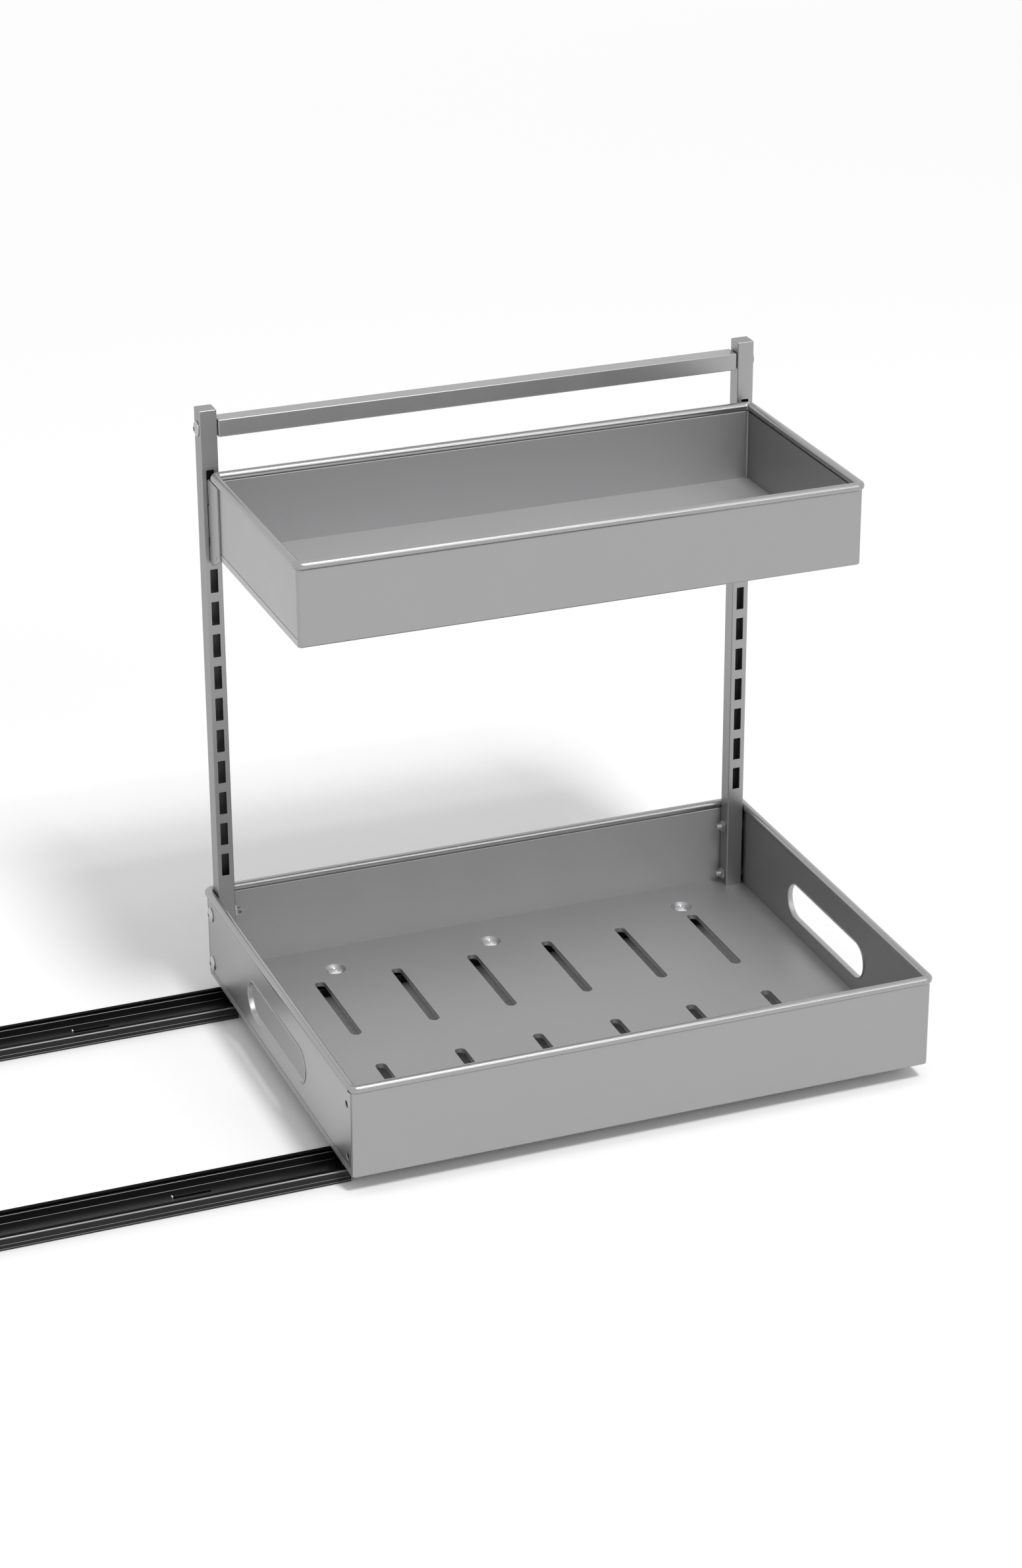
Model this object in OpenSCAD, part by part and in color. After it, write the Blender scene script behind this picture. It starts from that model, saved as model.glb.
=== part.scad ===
// Pull-out cabinet basket, in millimetres, drawn fully pulled out.
// A lower tray rides on two three-member ball slides. Two slotted posts stand in its back corners,
// a crossbar ties their tops, and an upper shelf hangs from hooks in the post slots.
// X is the pull direction, Y runs across the cabinet and Z is up. The origin is on the cabinet floor,
// at the centre of the screw pattern that holds the two slides.

/* [Slides] */
// Width of the outer slide member
slide_w = 45; // [43:0.5:50]
// Overall thickness of a slide
slide_h = 12.7; // [12.4:0.1:14]
// Distance of the inner slide members' ends inside the tray's ends
slide_inset = 2; // [0:0.5:10]
// Distance of the slide centre lines inside the tray's long faces
slide_side_inset = 46; // [40:1:56]
// Sheet thickness of the slide members
slide_sheet = 1.2; // [1:0.1:1.4]
// Outside bend radius of the slide members
slide_bend = 1.6; // [1.2:0.1:2]
// Half width of the middle slide member
middle_half_w = 16.3; // [15.6:0.1:16.8]
// Half width of the inner slide member
inner_half_w = 11.6; // [11:0.1:12]
// Play between a ball and the member walls on either side of it
ball_play = 0.3; // [0.2:0.05:0.4]
// Number of balls in a row between the outer and middle members
outer_ball_count = 13; // [6:1:20]
// Number of balls in a row between the middle and inner members
inner_ball_count = 12; // [6:1:20]
// Thickness of the ball cage strips
cage_t = 1; // [0.8:0.1:1.2]
// Distance from the ends of the member overlap to the ends of a ball cage
cage_inset = 11; // [8:1:30]
// Length of the plastic stop at the back of the outer member
stop_l = 8; // [5:1:12]
// Distance along the slide between the floor screws
mount_pitch = 416; // [352:32:448]
// Diameter of the floor screw holes
mount_hole_d = 5; // [4:0.5:6]

/* [Travel] */
// Length of a middle member that stays inside its outer one when pulled out
middle_hold = 308; // [240:4:336]
// Length of an inner member that stays inside its middle one when pulled out
inner_hold = 232; // [200:4:256]
// How far the shelf hooks lift inside the post slots
lift_travel = 10; // [8:0.5:12]

/* [Tray] */
// Length of the lower tray along the slides
tray_l = 540; // [500:10:600]
// Width of the lower tray across the slides
tray_w = 408; // [396:4:440]
// Height of the tray rim's centre above the tray's lower edge
tray_h = 84.5; // [80:0.5:120]
// Gap between the tray's lower edge and the slides
tray_gap = 4; // [3.6:0.1:5]
// Thickness of a folded double wall
wall_t = 3.4; // [3:0.1:4]
// Sheet thickness of the wall skins
skin_t = 1; // [0.8:0.1:1.2]
// Sheet thickness of the floors
floor_t = 1.2; // [1:0.1:1.5]
// Height of the floor surface above the lower edge of the walls
floor_z = 4.2; // [4:0.1:5.6]
// Height of the floor sheet's end strips, on which the outer skins of the end walls stand
foot_h = 6.4; // [6:0.1:8]
// Open seam at each end of an end wall's outer skin
end_seam = 0.6; // [0.2:0.1:1]
// Outside radius of the vertical wall corners
corner_r = 3; // [2.5:0.1:3.4]
// Outside radius of the bend along the lower edge of the long walls
edge_r = 2; // [1:0.1:2.2]
// Width of the flange folded in under the long walls
flange_w = 14; // [8:1:20]
// Width of the weld strip up each inside corner
weld_w = 1.5; // [1:0.1:2]
// Clearance between neighbouring sheets
seam = 0.1; // [0.05:0.01:0.2]

/* [Rims] */
// Diameter of the rim tube
rim_d = 8; // [7.4:0.1:9]
// Wall thickness of the rim tube
rim_wall = 1; // [0.8:0.1:1.2]
// Distance of the rim's centre inside the outer wall face
rim_inset = 1; // [0.8:0.1:1.4]
// Centre-line radius of the rim corners
rim_bend = 5; // [4.8:0.1:7]
// Distance from the rim's centre down to the wall edge inside the tube
rim_seat = 2.5; // [2.2:0.1:2.7]
// Gap between the rim tube and the ledge of the inner skin
ledge_gap = 0.4; // [0.2:0.1:4]

/* [Floor slots] */
// Number of slots in each row
floor_slot_count = 6; // [2:1:6]
// Distance between neighbouring slots
floor_slot_pitch = 75.2; // [60:0.2:80]
// Width of a slot
floor_slot_w = 10; // [8:0.5:16]
// Length of a slot
floor_slot_l = 110; // [60:2:116]
// Distance of the slots' middle ahead of the tray's middle
floor_slot_shift = 3.3; // [0:0.1:6]
// Distance of each row's centre inside the nearer slide's centre line
floor_slot_inset = 74; // [72:0.5:78]
// Depth of the flange drawn down round a slot
floor_slot_depth = 5; // [3:0.5:6]
// Thickness of that drawn flange
floor_slot_lip = 1; // [0.8:0.1:1.2]

/* [Hand holes] */
// Length of a hand hole
hand_l = 160; // [100:5:200]
// Height of a hand hole
hand_h = 34; // [26:1:40]
// Height of a hand hole's centre above the tray's lower edge
hand_z = 38.5; // [34:0.5:40]
// Wall thickness of the lip round a hand hole
hand_lip_t = 1.4; // [1:0.1:2]
// How far the lip stands out of each wall face
hand_lip_out = 1; // [0.5:0.1:1.5]

/* [Posts] */
// Outside width of the square post tube
post_w = 16; // [15:0.5:20]
// Wall thickness of the post tube
post_wall = 1.5; // [1.2:0.1:2]
// Corner radius of the post tube
post_r = 1; // [0.6:0.1:3]
// Height of the post tops above the tray's lower edge
post_top = 556; // [548:1:640]
// Gap between a post and the tray walls beside it
post_gap = 1.8; // [1.2:0.1:2.5]
// Width of a hook slot
hook_slot_w = 7; // [6:0.5:8]
// Height of a hook slot
hook_slot_h = 22; // [20:0.5:24]
// Distance between neighbouring hook slots
hook_slot_pitch = 31; // [29:0.5:34]
// Height of the lowest hook slot's centre above the tray's lower edge
hook_slot_first = 118; // [110:1:120]
// Number of hook slots in a post
hook_slot_count = 13; // [13:1:13]

/* [Bolts] */
// Diameter of the bolts and screws
bolt_d = 6; // [5:0.5:6]
// Diametral clearance of a bolt in its hole
bolt_clear = 0.4; // [0.2:0.1:0.6]
// Diametral clearance of a bolt in its thread
thread_clear = 0.2; // [0.1:0.05:0.3]
// Diameter of a bolt head
head_d = 14; // [12:0.5:14]
// Height of a bolt head
head_h = 3; // [2.5:0.1:3.5]
// Width across flats of the hex sockets
socket_af = 4; // [3:0.5:5]
// Width across flats of the nuts
nut_af = 10; // [9:0.5:11]
// Thickness of the post nuts
nut_h = 3.2; // [3:0.1:6]
// How far a bolt end stands out of its nut
bolt_end = 4.5; // [2:0.5:6]
// Outside diameter of the spacers
spacer_d = 12; // [10:0.5:13]
// Height of the lower post bolt above the tray's lower edge
bolt_low_z = 15; // [14.5:0.5:17]
// Height of the upper post bolt above the tray's lower edge
bolt_high_z = 65.3; // [62:0.1:68]
// Distance of the spare bolt holes from the tray's front face
spare_y = 13.2; // [10:0.1:20]

/* [Floor screws] */
// Distance of the rear floor screw behind the tray's middle
screw_back_x = 162; // [140:2:168]
// Distance of the middle floor screw behind the tray's middle
screw_mid_x = 7; // [0:1:10]
// Distance of the front floor screw ahead of the tray's middle
screw_front_x = 190.5; // [180:0.5:200]
// Diameter of a screw recess at the floor
recess_d = 19.5; // [18.5:0.5:22]
// Diameter of a screw recess at its seat
recess_seat_d = 15.2; // [15:0.1:16]
// Depth of a screw recess
recess_depth = 3.4; // [3.2:0.1:4]
// Thickness of the nuts under the slides
rail_nut_h = 3.2; // [3:0.1:4]
// How far a floor screw stands out of its nut
screw_end = 1.1; // [0.5:0.1:1.5]

/* [Crossbar] */
// Outside width of the square crossbar tube
bar_w = 16; // [14:0.5:16]
// Distance of the crossbar's centre below the post tops
bar_drop = 18; // [14:1:26]
// Gap between the crossbar tube and each post
bar_gap = 1; // [0.6:0.1:2.5]
// Length of an end plug inside the tube
plug_l = 14; // [10:1:30]
// Length of a crossbar screw under its head
bar_screw_l = 28; // [24:1:28]

/* [Shelf] */
// Width of the shelf across the slides
shelf_w = 234.3; // [160:0.1:260]
// Height of the shelf rim's centre above the shelf's lower edge
shelf_h = 72.6; // [70:0.1:78]
// Gap between the shelf's back wall and the posts
shelf_gap = 9.5; // [6:0.5:12]
// Number of free post slots below the lowest hook
slots_below_count = 10; // [2:1:10]
// Distance of the shelf's lower edge below the centre of that slot
shelf_drop = 2.4; // [0:0.1:4]

/* [Shelf brackets] */
// Thickness of a bracket plate
bracket_t = 2; // [1.5:0.1:2.5]
// Width of a bracket plate in front of the post
bracket_w = 28.5; // [24:0.5:40]
// Reach of the bracket's lower end below the centre of its lowest slot
bracket_drop = 14; // [12:0.5:18]
// Height of the slanted cut across the bracket's lower front corner
bracket_cut = 11; // [4:0.5:12]
// Distance of the cut's lower end in front of the post
bracket_foot = 6; // [4:0.5:12]
// Depth of the relief between the hooks
bracket_relief = 2.8; // [2:0.1:4]
// Play of a hook in its slot and behind the post wall
hook_play = 0.3; // [0.2:0.05:0.4]
// How far a hook reaches down behind the post wall
hook_lip = 7; // [4:0.5:7]
// Thickness of a hook behind the post wall
hook_t = 3; // [2:0.5:4]
// Diameter of the locking hole in a bracket's lower end
lock_hole_d = 2; // [1.5:0.5:3]
// Distance of the locking hole in front of the post
lock_hole_y = 19.7; // [14:0.1:22]
// Distance of the locking hole below the lowest slot's centre
lock_hole_drop = 2.2; // [0:0.1:4]

/* [Hidden] */
$fn = 96;

// One overrun for every cut
over = 1;
// Colours of the finishes
sheet_grey = [0.62, 0.63, 0.64];
tube_grey = [0.66, 0.67, 0.68];
rail_black = [0.10, 0.10, 0.11];
zinc = [0.80, 0.81, 0.82];
plastic_black = [0.05, 0.05, 0.05];
ball_steel = [0.75, 0.75, 0.76];

// Slide section: how far the outer lips stop below the slide's top
outer_drop = 0.3;
outer_top = slide_h - outer_drop;
// Inner face of the outer member's side wall
outer_inner = slide_w / 2 - slide_sheet;
// Gap between the outer lips and the middle member
lip_gap = 1;
lip_reach = middle_half_w + lip_gap;
// Faint grooves rolled along the outer side walls
groove_r = 0.6;
groove_depth = 0.25;
groove_low = slide_h * 0.2;
groove_high = slide_h * 0.49;
// Gap between the outer and middle webs
web_gap = 0.6;
middle_low = slide_sheet + web_gap;
middle_web_top = middle_low + slide_sheet;
// Gap between the middle member's top edges and the inner web
edge_gap = 1;
middle_top = slide_h - slide_sheet - edge_gap;
// Gap between the inner member's lower edges and the middle web
foot_gap = 0.5;
inner_foot = middle_web_top + foot_gap;

// Balls and cages: rows lie midway between the member walls
outer_row_t = (middle_half_w + outer_inner) / 2;
outer_ball_d = outer_inner - middle_half_w - 2 * ball_play;
outer_row_z = (slide_sheet + outer_top - slide_sheet) / 2;
inner_row_t = (inner_half_w + middle_half_w - slide_sheet) / 2;
inner_ball_d = middle_half_w - slide_sheet - inner_half_w - 2 * ball_play;
inner_row_z = (middle_web_top + middle_top) / 2;
// Diametral clearance of a ball in its cage
cage_clear = 0.2;
// How far a cage strip reaches above and below its balls
cage_margin = 1.2;

// Length of the middle and inner slide members
slide_len = tray_l - 2 * slide_inset;
// How far the middle members run out of the outer ones, and the basket out of the middle ones
middle_travel = slide_len - middle_hold;
basket_travel = slide_len - inner_hold;
// Places along X in the drawn, fully pulled out, pose
basket_x = middle_travel + basket_travel;
outer_front_x = slide_len / 2;
outer_back_x = -slide_len / 2 - stop_l;
middle_back_x = middle_travel - slide_len / 2;
middle_front_x = middle_travel + slide_len / 2;
inner_back_x = basket_x - slide_len / 2;
// Clearance between the stop and the closed middle member
stop_play = 0.3;
rail_y = tray_w / 2 - slide_side_inset;

// Lanced tab and slot in the middle member's web
tab_from_front = 378;
tab_offset = 3;
tab_w = 3;
tab_h = 2.2;
tab_slot_l = 34;
tab_slot_w = 4;

// Tray
floor_slot_row = rail_y - floor_slot_inset;
tray_base = slide_h + tray_gap;
screw_seat_z = floor_z - recess_depth;
recess_under_z = screw_seat_z - floor_t;
screw_places = [-screw_back_x, -screw_mid_x, screw_front_x];

// Posts
post_x = tray_l / 2 - wall_t - post_gap - post_w / 2;
post_y = tray_w / 2 - wall_t - post_gap - post_w / 2;
post_front_y = post_y - post_w / 2;
bolt_heights = [bolt_low_z, bolt_high_z];
post_bolt_l = wall_t + post_gap + post_w + nut_h + bolt_end;

// Crossbar
bar_z = post_top - bar_drop;
bar_half_l = post_x - post_w / 2 - bar_gap;
bar_y = post_front_y + bar_w / 2;
bar_r = post_r;
plug_w = bar_w - 2 * post_wall - 2 * seam;

// Shelf: its length puts the bracket plates inside the hook slots
bracket_x = post_x + hook_slot_w / 2 - hook_play - bracket_t;
shelf_l = 2 * bracket_x;
shelf_y = post_front_y - shelf_gap - shelf_w / 2;
shelf_slot_z = hook_slot_first + slots_below_count * hook_slot_pitch;
shelf_z = shelf_slot_z - shelf_drop;
neck_h = hook_slot_h - lift_travel - 2 * hook_play;
// Top and bottom of the bracket pads that bear on the post, as shares of the slot height
pad_top_shares = [0.14, 0.45, 0.12];
pad_bottom_share = 0.43;
rim_under = rim_d / 2 + 2 * seam;

// Plane shapes

module round_rect(x, y, r) {
    square([x - 2 * r, y], center = true);
    square([x, y - 2 * r], center = true);
    for (sx = [-1, 1], sy = [-1, 1])
        translate([sx * (x / 2 - r), sy * (y / 2 - r)])
            circle(r);
}

module stadium(l, w) {
    square([l - w, w], center = true);
    for (s = [-1, 1])
        translate([s * (l - w) / 2, 0])
            circle(d = w);
}

// Sends a plane shape's x to Y and its y to Z, and runs it along X
module along_x(length) {
    rotate([90, 0, 90])
        linear_extrude(length)
            children();
}

// A section with round lower corners and square upper ones
module trough(half_w, low, high, r) {
    intersection() {
        translate([0, high])
            round_rect(2 * half_w, 2 * (high - low), r);
        translate([-half_w, low])
            square([2 * half_w, high - low]);
    }
}

// A section with round upper corners and square lower ones
module cap(half_w, low, high, r) {
    intersection() {
        translate([0, low])
            round_rect(2 * half_w, 2 * (high - low), r);
        translate([-half_w, low])
            square([2 * half_w, high - low]);
    }
}

module both_sides() {
    for (s = [-1, 1])
        translate([0, s * rail_y, 0])
            children();
}

module at_tray() {
    translate([basket_x, 0, tray_base])
        children();
}

module at_shelf() {
    at_tray()
        translate([0, shelf_y, shelf_z])
            children();
}

// Fasteners

module hex(af, h) {
    cylinder(d = af / cos(30), h = h, $fn = 6);
}

// A low domed head that rises along Z from its seat
module domed_head(d, h) {
    edge = h / 3;
    rise = h - edge;
    dome_r = (d * d / 4 + rise * rise) / (2 * rise);
    intersection() {
        cylinder(d = d, h = h);
        translate([0, 0, h - dome_r])
            sphere(dome_r);
    }
}

module socket_bolt(length) {
    difference() {
        union() {
            domed_head(head_d, head_h);
            translate([0, 0, -length])
                cylinder(d = bolt_d, h = length);
        }
        translate([0, 0, head_h / 3])
            hex(socket_af, head_h);
    }
}

module cross_screw(length) {
    slot_w = bolt_d / 5;
    difference() {
        union() {
            domed_head(head_d, head_h);
            translate([0, 0, -length])
                cylinder(d = bolt_d, h = length);
        }
        for (turn = [0, 90])
            rotate([0, 0, turn])
                translate([0, 0, head_h])
                    cube([bolt_d, slot_w, head_h], center = true);
    }
}

module nut(h) {
    difference() {
        hex(nut_af, h);
        translate([0, 0, -over])
            cylinder(d = bolt_d + thread_clear, h = h + 2 * over);
    }
}

module spacer(h) {
    difference() {
        cylinder(d = spacer_d, h = h);
        translate([0, 0, -over])
            cylinder(d = bolt_d + bolt_clear, h = h + 2 * over);
    }
}

// Slides

module outer_section() {
    difference() {
        translate([0, outer_top / 2])
            round_rect(slide_w, outer_top, slide_bend);
        translate([-outer_inner, slide_sheet])
            square([2 * outer_inner, outer_top - 2 * slide_sheet]);
        translate([-lip_reach, slide_sheet])
            square([2 * lip_reach, outer_top]);
        for (side = [-1, 1], z = [groove_low, groove_high])
            translate([side * (slide_w / 2 + groove_r - groove_depth), z])
                circle(groove_r);
    }
}

module outer_rail() {
    difference() {
        translate([outer_back_x, 0, 0])
            along_x(outer_front_x - outer_back_x)
                outer_section();
        for (s = [-1, 1])
            translate([s * mount_pitch / 2, 0, -over])
                cylinder(d = mount_hole_d, h = slide_sheet + 2 * over);
    }
}

module middle_section() {
    difference() {
        trough(middle_half_w, middle_low, middle_top, slide_bend);
        translate([slide_sheet - middle_half_w, middle_web_top])
            square([2 * (middle_half_w - slide_sheet), middle_top]);
    }
}

module middle_rail() {
    tab_x = middle_front_x - tab_from_front;
    difference() {
        translate([middle_back_x, 0, 0])
            along_x(slide_len)
                middle_section();
        translate([tab_x + tab_slot_l / 2, tab_offset, middle_low - over])
            linear_extrude(slide_sheet + 2 * over)
                stadium(tab_slot_l, tab_slot_w);
    }
    translate([tab_x - slide_sheet, tab_offset - tab_w / 2, middle_web_top])
        cube([slide_sheet, tab_w, tab_h]);
}

module inner_section() {
    difference() {
        cap(inner_half_w, inner_foot, slide_h, slide_bend);
        translate([slide_sheet - inner_half_w, inner_foot - over])
            square([2 * (inner_half_w - slide_sheet), slide_h - slide_sheet - inner_foot + over]);
    }
}

module inner_rail() {
    difference() {
        translate([inner_back_x, 0, 0])
            along_x(slide_len)
                inner_section();
        for (x = screw_places)
            translate([basket_x + x, 0, slide_h - slide_sheet - over])
                cylinder(d = bolt_d + bolt_clear, h = slide_sheet + 2 * over);
    }
}

// Spreads a row of ball places from one cage end to the other
module ball_places(from_x, to_x, count) {
    pitch = (to_x - from_x) / count;
    for (i = [0 : count - 1])
        translate([from_x + (i + 0.5) * pitch, 0, 0])
            children();
}

module cage_strip(from_x, to_x, count, ball_d, z) {
    strip_h = ball_d + 2 * cage_margin;
    difference() {
        translate([from_x, -cage_t / 2, z - strip_h / 2])
            cube([to_x - from_x, cage_t, strip_h]);
        ball_places(from_x, to_x, count)
            translate([0, cage_t / 2 + over, z])
                rotate([90, 0, 0])
                    cylinder(d = ball_d + cage_clear, h = cage_t + 2 * over);
    }
}

// The four rows between the outer and middle members
module outer_rows() {
    both_sides()
        for (s = [-1, 1])
            translate([0, s * outer_row_t, 0])
                children();
}

module inner_rows() {
    both_sides()
        for (s = [-1, 1])
            translate([0, s * inner_row_t, 0])
                children();
}

module outer_rail_front() {
    color(rail_black)
        translate([0, -rail_y, 0])
            outer_rail();
}

module outer_rail_back() {
    color(rail_black)
        translate([0, rail_y, 0])
            outer_rail();
}

module rail_stops() {
    color(plastic_black)
        both_sides()
            translate([outer_back_x, -middle_half_w, slide_sheet])
                cube([stop_l - stop_play, 2 * middle_half_w, middle_top - slide_sheet]);
}

module outer_ball_cages() {
    color(zinc)
        outer_rows()
            cage_strip(middle_back_x + cage_inset, outer_front_x - cage_inset,
                outer_ball_count, outer_ball_d, outer_row_z);
}

module outer_balls() {
    color(ball_steel)
        outer_rows()
            ball_places(middle_back_x + cage_inset, outer_front_x - cage_inset, outer_ball_count)
                translate([0, 0, outer_row_z])
                    sphere(d = outer_ball_d);
}

module middle_rail_front() {
    color(rail_black)
        translate([0, -rail_y, 0])
            middle_rail();
}

module middle_rail_back() {
    color(rail_black)
        translate([0, rail_y, 0])
            middle_rail();
}

module inner_ball_cages() {
    color(zinc)
        inner_rows()
            cage_strip(inner_back_x + cage_inset, middle_front_x - cage_inset,
                inner_ball_count, inner_ball_d, inner_row_z);
}

module inner_balls() {
    color(ball_steel)
        inner_rows()
            ball_places(inner_back_x + cage_inset, middle_front_x - cage_inset, inner_ball_count)
                translate([0, 0, inner_row_z])
                    sphere(d = inner_ball_d);
}

module inner_rail_front() {
    color(rail_black)
        translate([0, -rail_y, 0])
            inner_rail();
}

module inner_rail_back() {
    color(rail_black)
        translate([0, rail_y, 0])
            inner_rail();
}

// Fixings between the slides and the tray

module screw_grid() {
    both_sides()
        for (x = screw_places)
            translate([basket_x + x, 0, 0])
                children();
}

module floor_spacers() {
    color(zinc)
        screw_grid()
            translate([0, 0, slide_h])
                spacer(tray_gap + recess_under_z);
}

module floor_screws() {
    seat = tray_base + screw_seat_z;
    tip = slide_h - slide_sheet - rail_nut_h - screw_end;
    color(zinc)
        screw_grid()
            translate([0, 0, seat])
                cross_screw(seat - tip);
}

module rail_nuts() {
    color(zinc)
        screw_grid()
            translate([0, 0, slide_h - slide_sheet - rail_nut_h])
                nut(rail_nut_h);
}

// Sheet metal boxes, drawn about their own centre with the lower edge at zero

// The outer skin of the -Y wall with its round corners, as a plan
module wall_skin_plan(l, w) {
    intersection() {
        difference() {
            round_rect(l, w, corner_r);
            round_rect(l - 2 * skin_t, w - 2 * skin_t, corner_r - skin_t);
        }
        translate([-l / 2, -w / 2])
            square([l, wall_t]);
    }
}

module long_wall(l, w, h) {
    ledge = h - rim_d / 2 - ledge_gap;
    inner_l = l - 2 * wall_t;
    flange_l = l - 2 * (floor_t + seam);
    difference() {
        union() {
            linear_extrude(h - rim_seat)
                wall_skin_plan(l, w);
            translate([-inner_l / 2, wall_t - skin_t - w / 2, 0])
                cube([inner_l, skin_t, ledge]);
            translate([-inner_l / 2, skin_t / 2 - w / 2, ledge - skin_t])
                cube([inner_l, wall_t - skin_t, skin_t]);
            translate([-flange_l / 2, skin_t / 2 - w / 2, 0])
                cube([flange_l, flange_w - skin_t / 2, skin_t]);
        }
        translate([-l / 2 - over, -w / 2, 0])
            along_x(l + 2 * over)
                difference() {
                    translate([-over, -over])
                        square([edge_r + over, edge_r + over]);
                    translate([edge_r, edge_r])
                        circle(edge_r);
                }
    }
}

// The +X end wall, which stands on the floor sheet
module end_wall(l, w, h) {
    run = w - 2 * (wall_t + seam);
    outer_run = w - 2 * (wall_t + end_seam);
    ledge = h - rim_d / 2 - ledge_gap;
    translate([l / 2 - skin_t, -outer_run / 2, foot_h])
        cube([skin_t, outer_run, h - rim_seat - foot_h]);
    translate([l / 2 - wall_t, -run / 2, floor_z])
        cube([skin_t, run, ledge - floor_z]);
    translate([l / 2 - wall_t, -run / 2, ledge - skin_t])
        cube([wall_t - skin_t / 2, run, skin_t]);
    for (s = [-1, 1])
        translate([l / 2 - wall_t, s * run / 2, floor_z])
            scale([1, s, 1])
                linear_extrude(ledge - floor_z)
                    polygon([[0, 0], [-weld_w, 0], [0, -weld_w]]);
}

module floor_sheet(l, w) {
    run = w - 2 * (wall_t + seam);
    translate([-l / 2, -run / 2, floor_z - floor_t])
        cube([l, run, floor_t]);
    for (s = [-1, 1]) {
        translate([s * (l - floor_t) / 2 - floor_t / 2, -run / 2, 0])
            cube([floor_t, run, foot_h]);
        translate([-l / 2, s * (run - floor_t) / 2 - floor_t / 2, skin_t])
            cube([l, floor_t, floor_z - skin_t]);
    }
}

// The rim's centre line grown to a tube of radius r
module rim_tube(l, w, r) {
    x = l / 2 - rim_inset;
    y = w / 2 - rim_inset;
    for (s = [-1, 1]) {
        translate([-(x - rim_bend), s * y, 0])
            rotate([0, 90, 0])
                cylinder(r = r, h = 2 * (x - rim_bend));
        translate([s * x, y - rim_bend, 0])
            rotate([90, 0, 0])
                cylinder(r = r, h = 2 * (y - rim_bend));
    }
    for (turn_x = [0, 1], turn_y = [0, 1])
        mirror([turn_x, 0, 0])
            mirror([0, turn_y, 0])
                translate([x - rim_bend, y - rim_bend, 0])
                    rotate_extrude(angle = 90)
                        translate([rim_bend, 0])
                            circle(r);
}

module rim(l, w, h) {
    difference() {
        translate([0, 0, h])
            rim_tube(l, w, rim_d / 2);
        translate([0, 0, h])
            rim_tube(l, w, rim_d / 2 - rim_wall);
        translate([0, 0, h - rim_d])
            linear_extrude(rim_d - rim_seat + seam)
                difference() {
                    round_rect(l + 2 * seam, w + 2 * seam, corner_r + seam);
                    round_rect(l - 2 * (skin_t + seam), w - 2 * (skin_t + seam),
                        corner_r - skin_t - seam);
                }
    }
}

// Lower tray

module floor_slots() {
    for (row = [-1, 1], i = [0 : floor_slot_count - 1])
        translate([(i - (floor_slot_count - 1) / 2) * floor_slot_pitch + floor_slot_shift,
                row * floor_slot_row, 0])
            rotate([0, 0, 90])
                children();
}

// The dished seat of a floor screw
module screw_recess() {
    rotate_extrude()
        polygon([
            [(bolt_d + bolt_clear) / 2, recess_under_z],
            [recess_seat_d / 2 + floor_t / 2, recess_under_z],
            [recess_d / 2 + floor_t, floor_z - floor_t],
            [recess_d / 2 + floor_t, floor_z],
            [recess_d / 2, floor_z],
            [recess_seat_d / 2, screw_seat_z],
            [(bolt_d + bolt_clear) / 2, screw_seat_z]
        ]);
}

module recess_grid() {
    for (s = [-1, 1], x = screw_places)
        translate([x, s * rail_y, 0])
            children();
}

module tray_floor() {
    color(sheet_grey)
        at_tray()
            difference() {
                union() {
                    difference() {
                        floor_sheet(tray_l, tray_w);
                        recess_grid()
                            cylinder(d = recess_d + floor_t / 2, h = floor_z + over);
                    }
                    recess_grid()
                        screw_recess();
                    floor_slots()
                        translate([0, 0, floor_z - floor_slot_depth])
                            linear_extrude(floor_slot_depth)
                                stadium(floor_slot_l + 2 * floor_slot_lip,
                                    floor_slot_w + 2 * floor_slot_lip);
                }
                floor_slots()
                    linear_extrude(floor_z + over)
                        stadium(floor_slot_l, floor_slot_w);
            }
}

module tray_front_wall() {
    color(sheet_grey)
        at_tray()
            long_wall(tray_l, tray_w, tray_h);
}

module tray_back_wall() {
    color(sheet_grey)
        at_tray()
            rotate([0, 0, 180])
                long_wall(tray_l, tray_w, tray_h);
}

// Places a child at every bolt place of the +X end wall, pointing out along +X
module end_bolts(y) {
    for (z = bolt_heights)
        translate([tray_l / 2, y, z])
            rotate([0, 90, 0])
                children();
}

module tray_end() {
    lip_depth = wall_t + 2 * hand_lip_out;
    difference() {
        union() {
            end_wall(tray_l, tray_w, tray_h);
            translate([tray_l / 2 - wall_t - hand_lip_out, 0, hand_z])
                along_x(lip_depth)
                    stadium(hand_l + 2 * hand_lip_t, hand_h + 2 * hand_lip_t);
        }
        translate([tray_l / 2 - lip_depth - over, 0, hand_z])
            along_x(lip_depth + 2 * over + hand_lip_out)
                stadium(hand_l, hand_h);
        for (y = [post_y, spare_y - tray_w / 2])
            end_bolts(y)
                translate([0, 0, -wall_t - over])
                    cylinder(d = bolt_d + bolt_clear, h = wall_t + 2 * over);
    }
}

module tray_end_left() {
    color(sheet_grey)
        at_tray()
            mirror([1, 0, 0])
                tray_end();
}

module tray_end_right() {
    color(sheet_grey)
        at_tray()
            tray_end();
}

module tray_rim() {
    color(tube_grey)
        at_tray()
            rim(tray_l, tray_w, tray_h);
}

// Posts and crossbar

// A solid square bar with round edges on its sides and its top
module post_blank(w, r, low, high) {
    intersection() {
        translate([0, 0, low])
            linear_extrude(high - low)
                round_rect(w, w, r);
        translate([-w / 2, 0, 0])
            along_x(w)
                cap(w / 2, low, high, r);
        translate([0, w / 2, 0])
            rotate([90, 0, 0])
                linear_extrude(w)
                    cap(w / 2, low, high, r);
    }
}

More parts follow.
